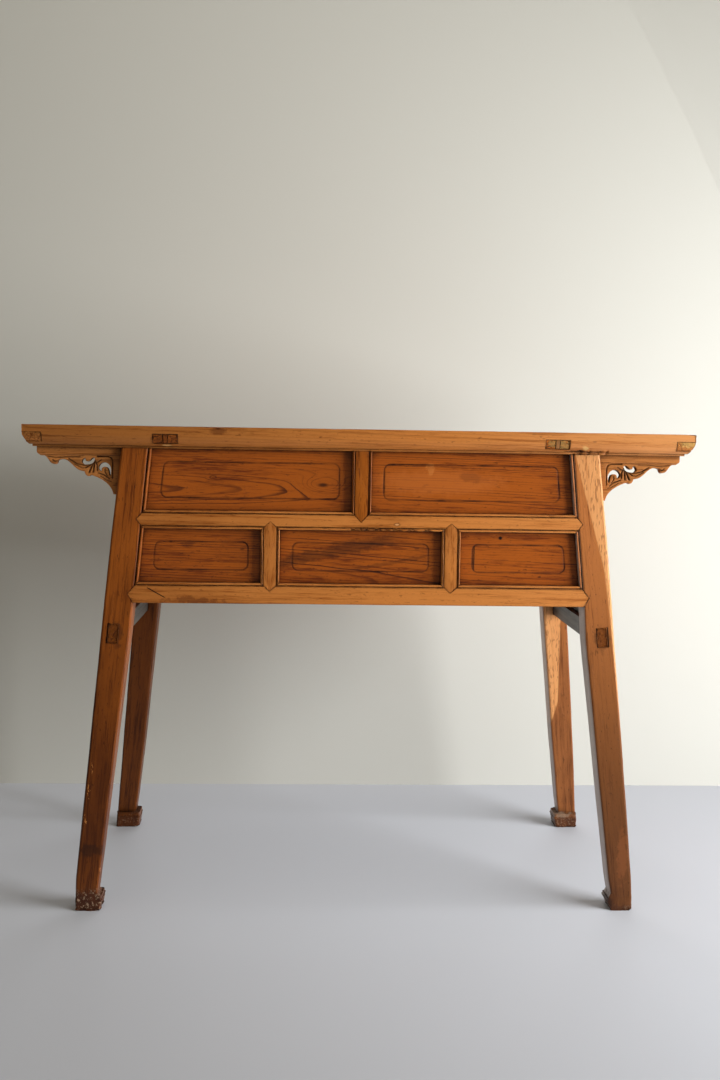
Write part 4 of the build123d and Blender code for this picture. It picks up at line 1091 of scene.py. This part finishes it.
for i, node in enumerate(n for n in sorted(NODES) if n.startswith("spandrel")):
    carved_spandrel(node, 70 + i)

# ---- floor, wall, light and camera
BACKDROP = srgb(222, 221, 216)
WALL_Y = 0.53
ROOM = 9.0
# Floor and wall pass into the backdrop's colour between these distances. Height counts for less.
FADE_FROM, FADE_TO = 1.16, 1.9
FADE_WEIGHTS = (1, 1, 0.15)


def plain(name, colour, roughness):
    """A plain sheet that passes into the backdrop's colour away from the table. It is see-through from
    its back, so that it never stands between a viewer and the table."""
    t = Tree(bpy.data.materials.new(name))
    coords = t.node("ShaderNodeTexCoord").outputs["Object"]
    away = t.length(t.vector("MULTIPLY", coords, FADE_WEIGHTS))
    beyond = t.node("ShaderNodeEmission", {"Color": BACKDROP})
    from_camera = t.node("ShaderNodeLightPath").outputs["Is Camera Ray"]
    faded = t.product(t.ramp(away, FADE_FROM, FADE_TO), from_camera)
    looks = {"Base Color": colour, "Roughness": roughness, "Specular IOR Level": 0.2}
    shader = t.node("ShaderNodeBsdfPrincipled", looks)
    front = t.mix_shaders(faded, shader.outputs["BSDF"], beyond.outputs["Emission"])
    from_back = t.node("ShaderNodeNewGeometry").outputs["Backfacing"]
    return t.finished(t.mix_shaders(from_back, front, t.node("ShaderNodeBsdfTransparent").outputs["BSDF"]))


def sheet(name, near, far, material, bounces=True):
    """A sheet as wide as the room, between two level edges that are given by their y and z."""
    mesh = bpy.data.meshes.new(name)
    mesh.from_pydata([(-ROOM, *near), (ROOM, *near), (ROOM, *far), (-ROOM, *far)], [], [(0, 1, 2, 3)])
    mesh.materials.append(material)
    made = placed(name, mesh)
    made.visible_shadow = False
    made.visible_diffuse = bounces


def area_light(name, place, target, size, power, colour=(1, 1, 1), spread=180, mirrored=True):
    lamp = bpy.data.lights.new(name, "AREA")
    lamp.shape = "RECTANGLE"
    lamp.size, lamp.size_y = size
    lamp.energy = power
    lamp.color = colour
    lamp.spread = radians(spread)
    made = placed(name, lamp)
    made.location = place
    made.rotation_euler = (Vector(target) - Vector(place)).to_track_quat("-Z", "Y").to_euler()
    made.visible_camera = False
    made.visible_glossy = mirrored


sheet("floor", (-ROOM, 0), (ROOM, 0), plain("pale_floor", srgb(196, 200, 208), 0.6))
sheet("wall", (WALL_Y, 0), (WALL_Y, ROOM), plain("pale_wall", srgb(203, 203, 196), 0.8), bounces=False)

# A low window on the right. Only part of its light is mirrored, so that waxed wood keeps its colour.
WINDOW_AT = (2.3, -0.95, 0.95)
for name, power, mirrored in (("window", 28, True), ("window_softened", 37, False)):
    area_light(name, WINDOW_AT, (0.1, 0.1, 0.66), (1.8, 1.3), power, spread=125, mirrored=mirrored)
area_light("overhead", (-0.2, -0.8, 2.6), (0, 0, 0.6), (2.0, 2.0), 6, (1.0, 0.93, 0.82))
area_light("behind", (0.3, 2.2, 1.5), (0, 0, 0.4), (2.4, 1.4), 26, mirrored=False)

FILL = (1.0, 0.86, 0.62, 1.0)
FILL_STRENGTH = 0.18

studio = Tree(bpy.data.worlds.new("studio"))
fill = studio.node("ShaderNodeBackground", {"Color": FILL, "Strength": FILL_STRENGTH}).outputs[0]
seen = studio.node("ShaderNodeBackground", {"Color": BACKDROP}).outputs[0]
from_camera = studio.node("ShaderNodeLightPath").outputs["Is Camera Ray"]
studio.node("ShaderNodeOutputWorld", {"Surface": studio.mix_shaders(from_camera, fill, seen)})
bpy.context.scene.world = studio.owner

FOCAL_PX = 1199.4
PHOTO_HEIGHT = 1080
YAW, PITCH, ROLL = radians(-2.4452), radians(5.2140), radians(0.92297)
CAMERA_AT = Vector((-0.09488, -2.38632, 0.87771))

camera = bpy.data.cameras.new("camera")
camera.sensor_width = 36.0
camera.lens = FOCAL_PX / PHOTO_HEIGHT * camera.sensor_width
camera_object = placed("camera", camera)
turn = Matrix.Rotation(YAW, 4, "Z") @ Matrix.Rotation(radians(90) - PITCH, 4, "X")
camera_object.matrix_world = Matrix.Translation(CAMERA_AT) @ turn @ Matrix.Rotation(ROLL, 4, "Z")
bpy.context.scene.camera = camera_object
bpy.context.scene.view_settings.view_transform = "Standard"
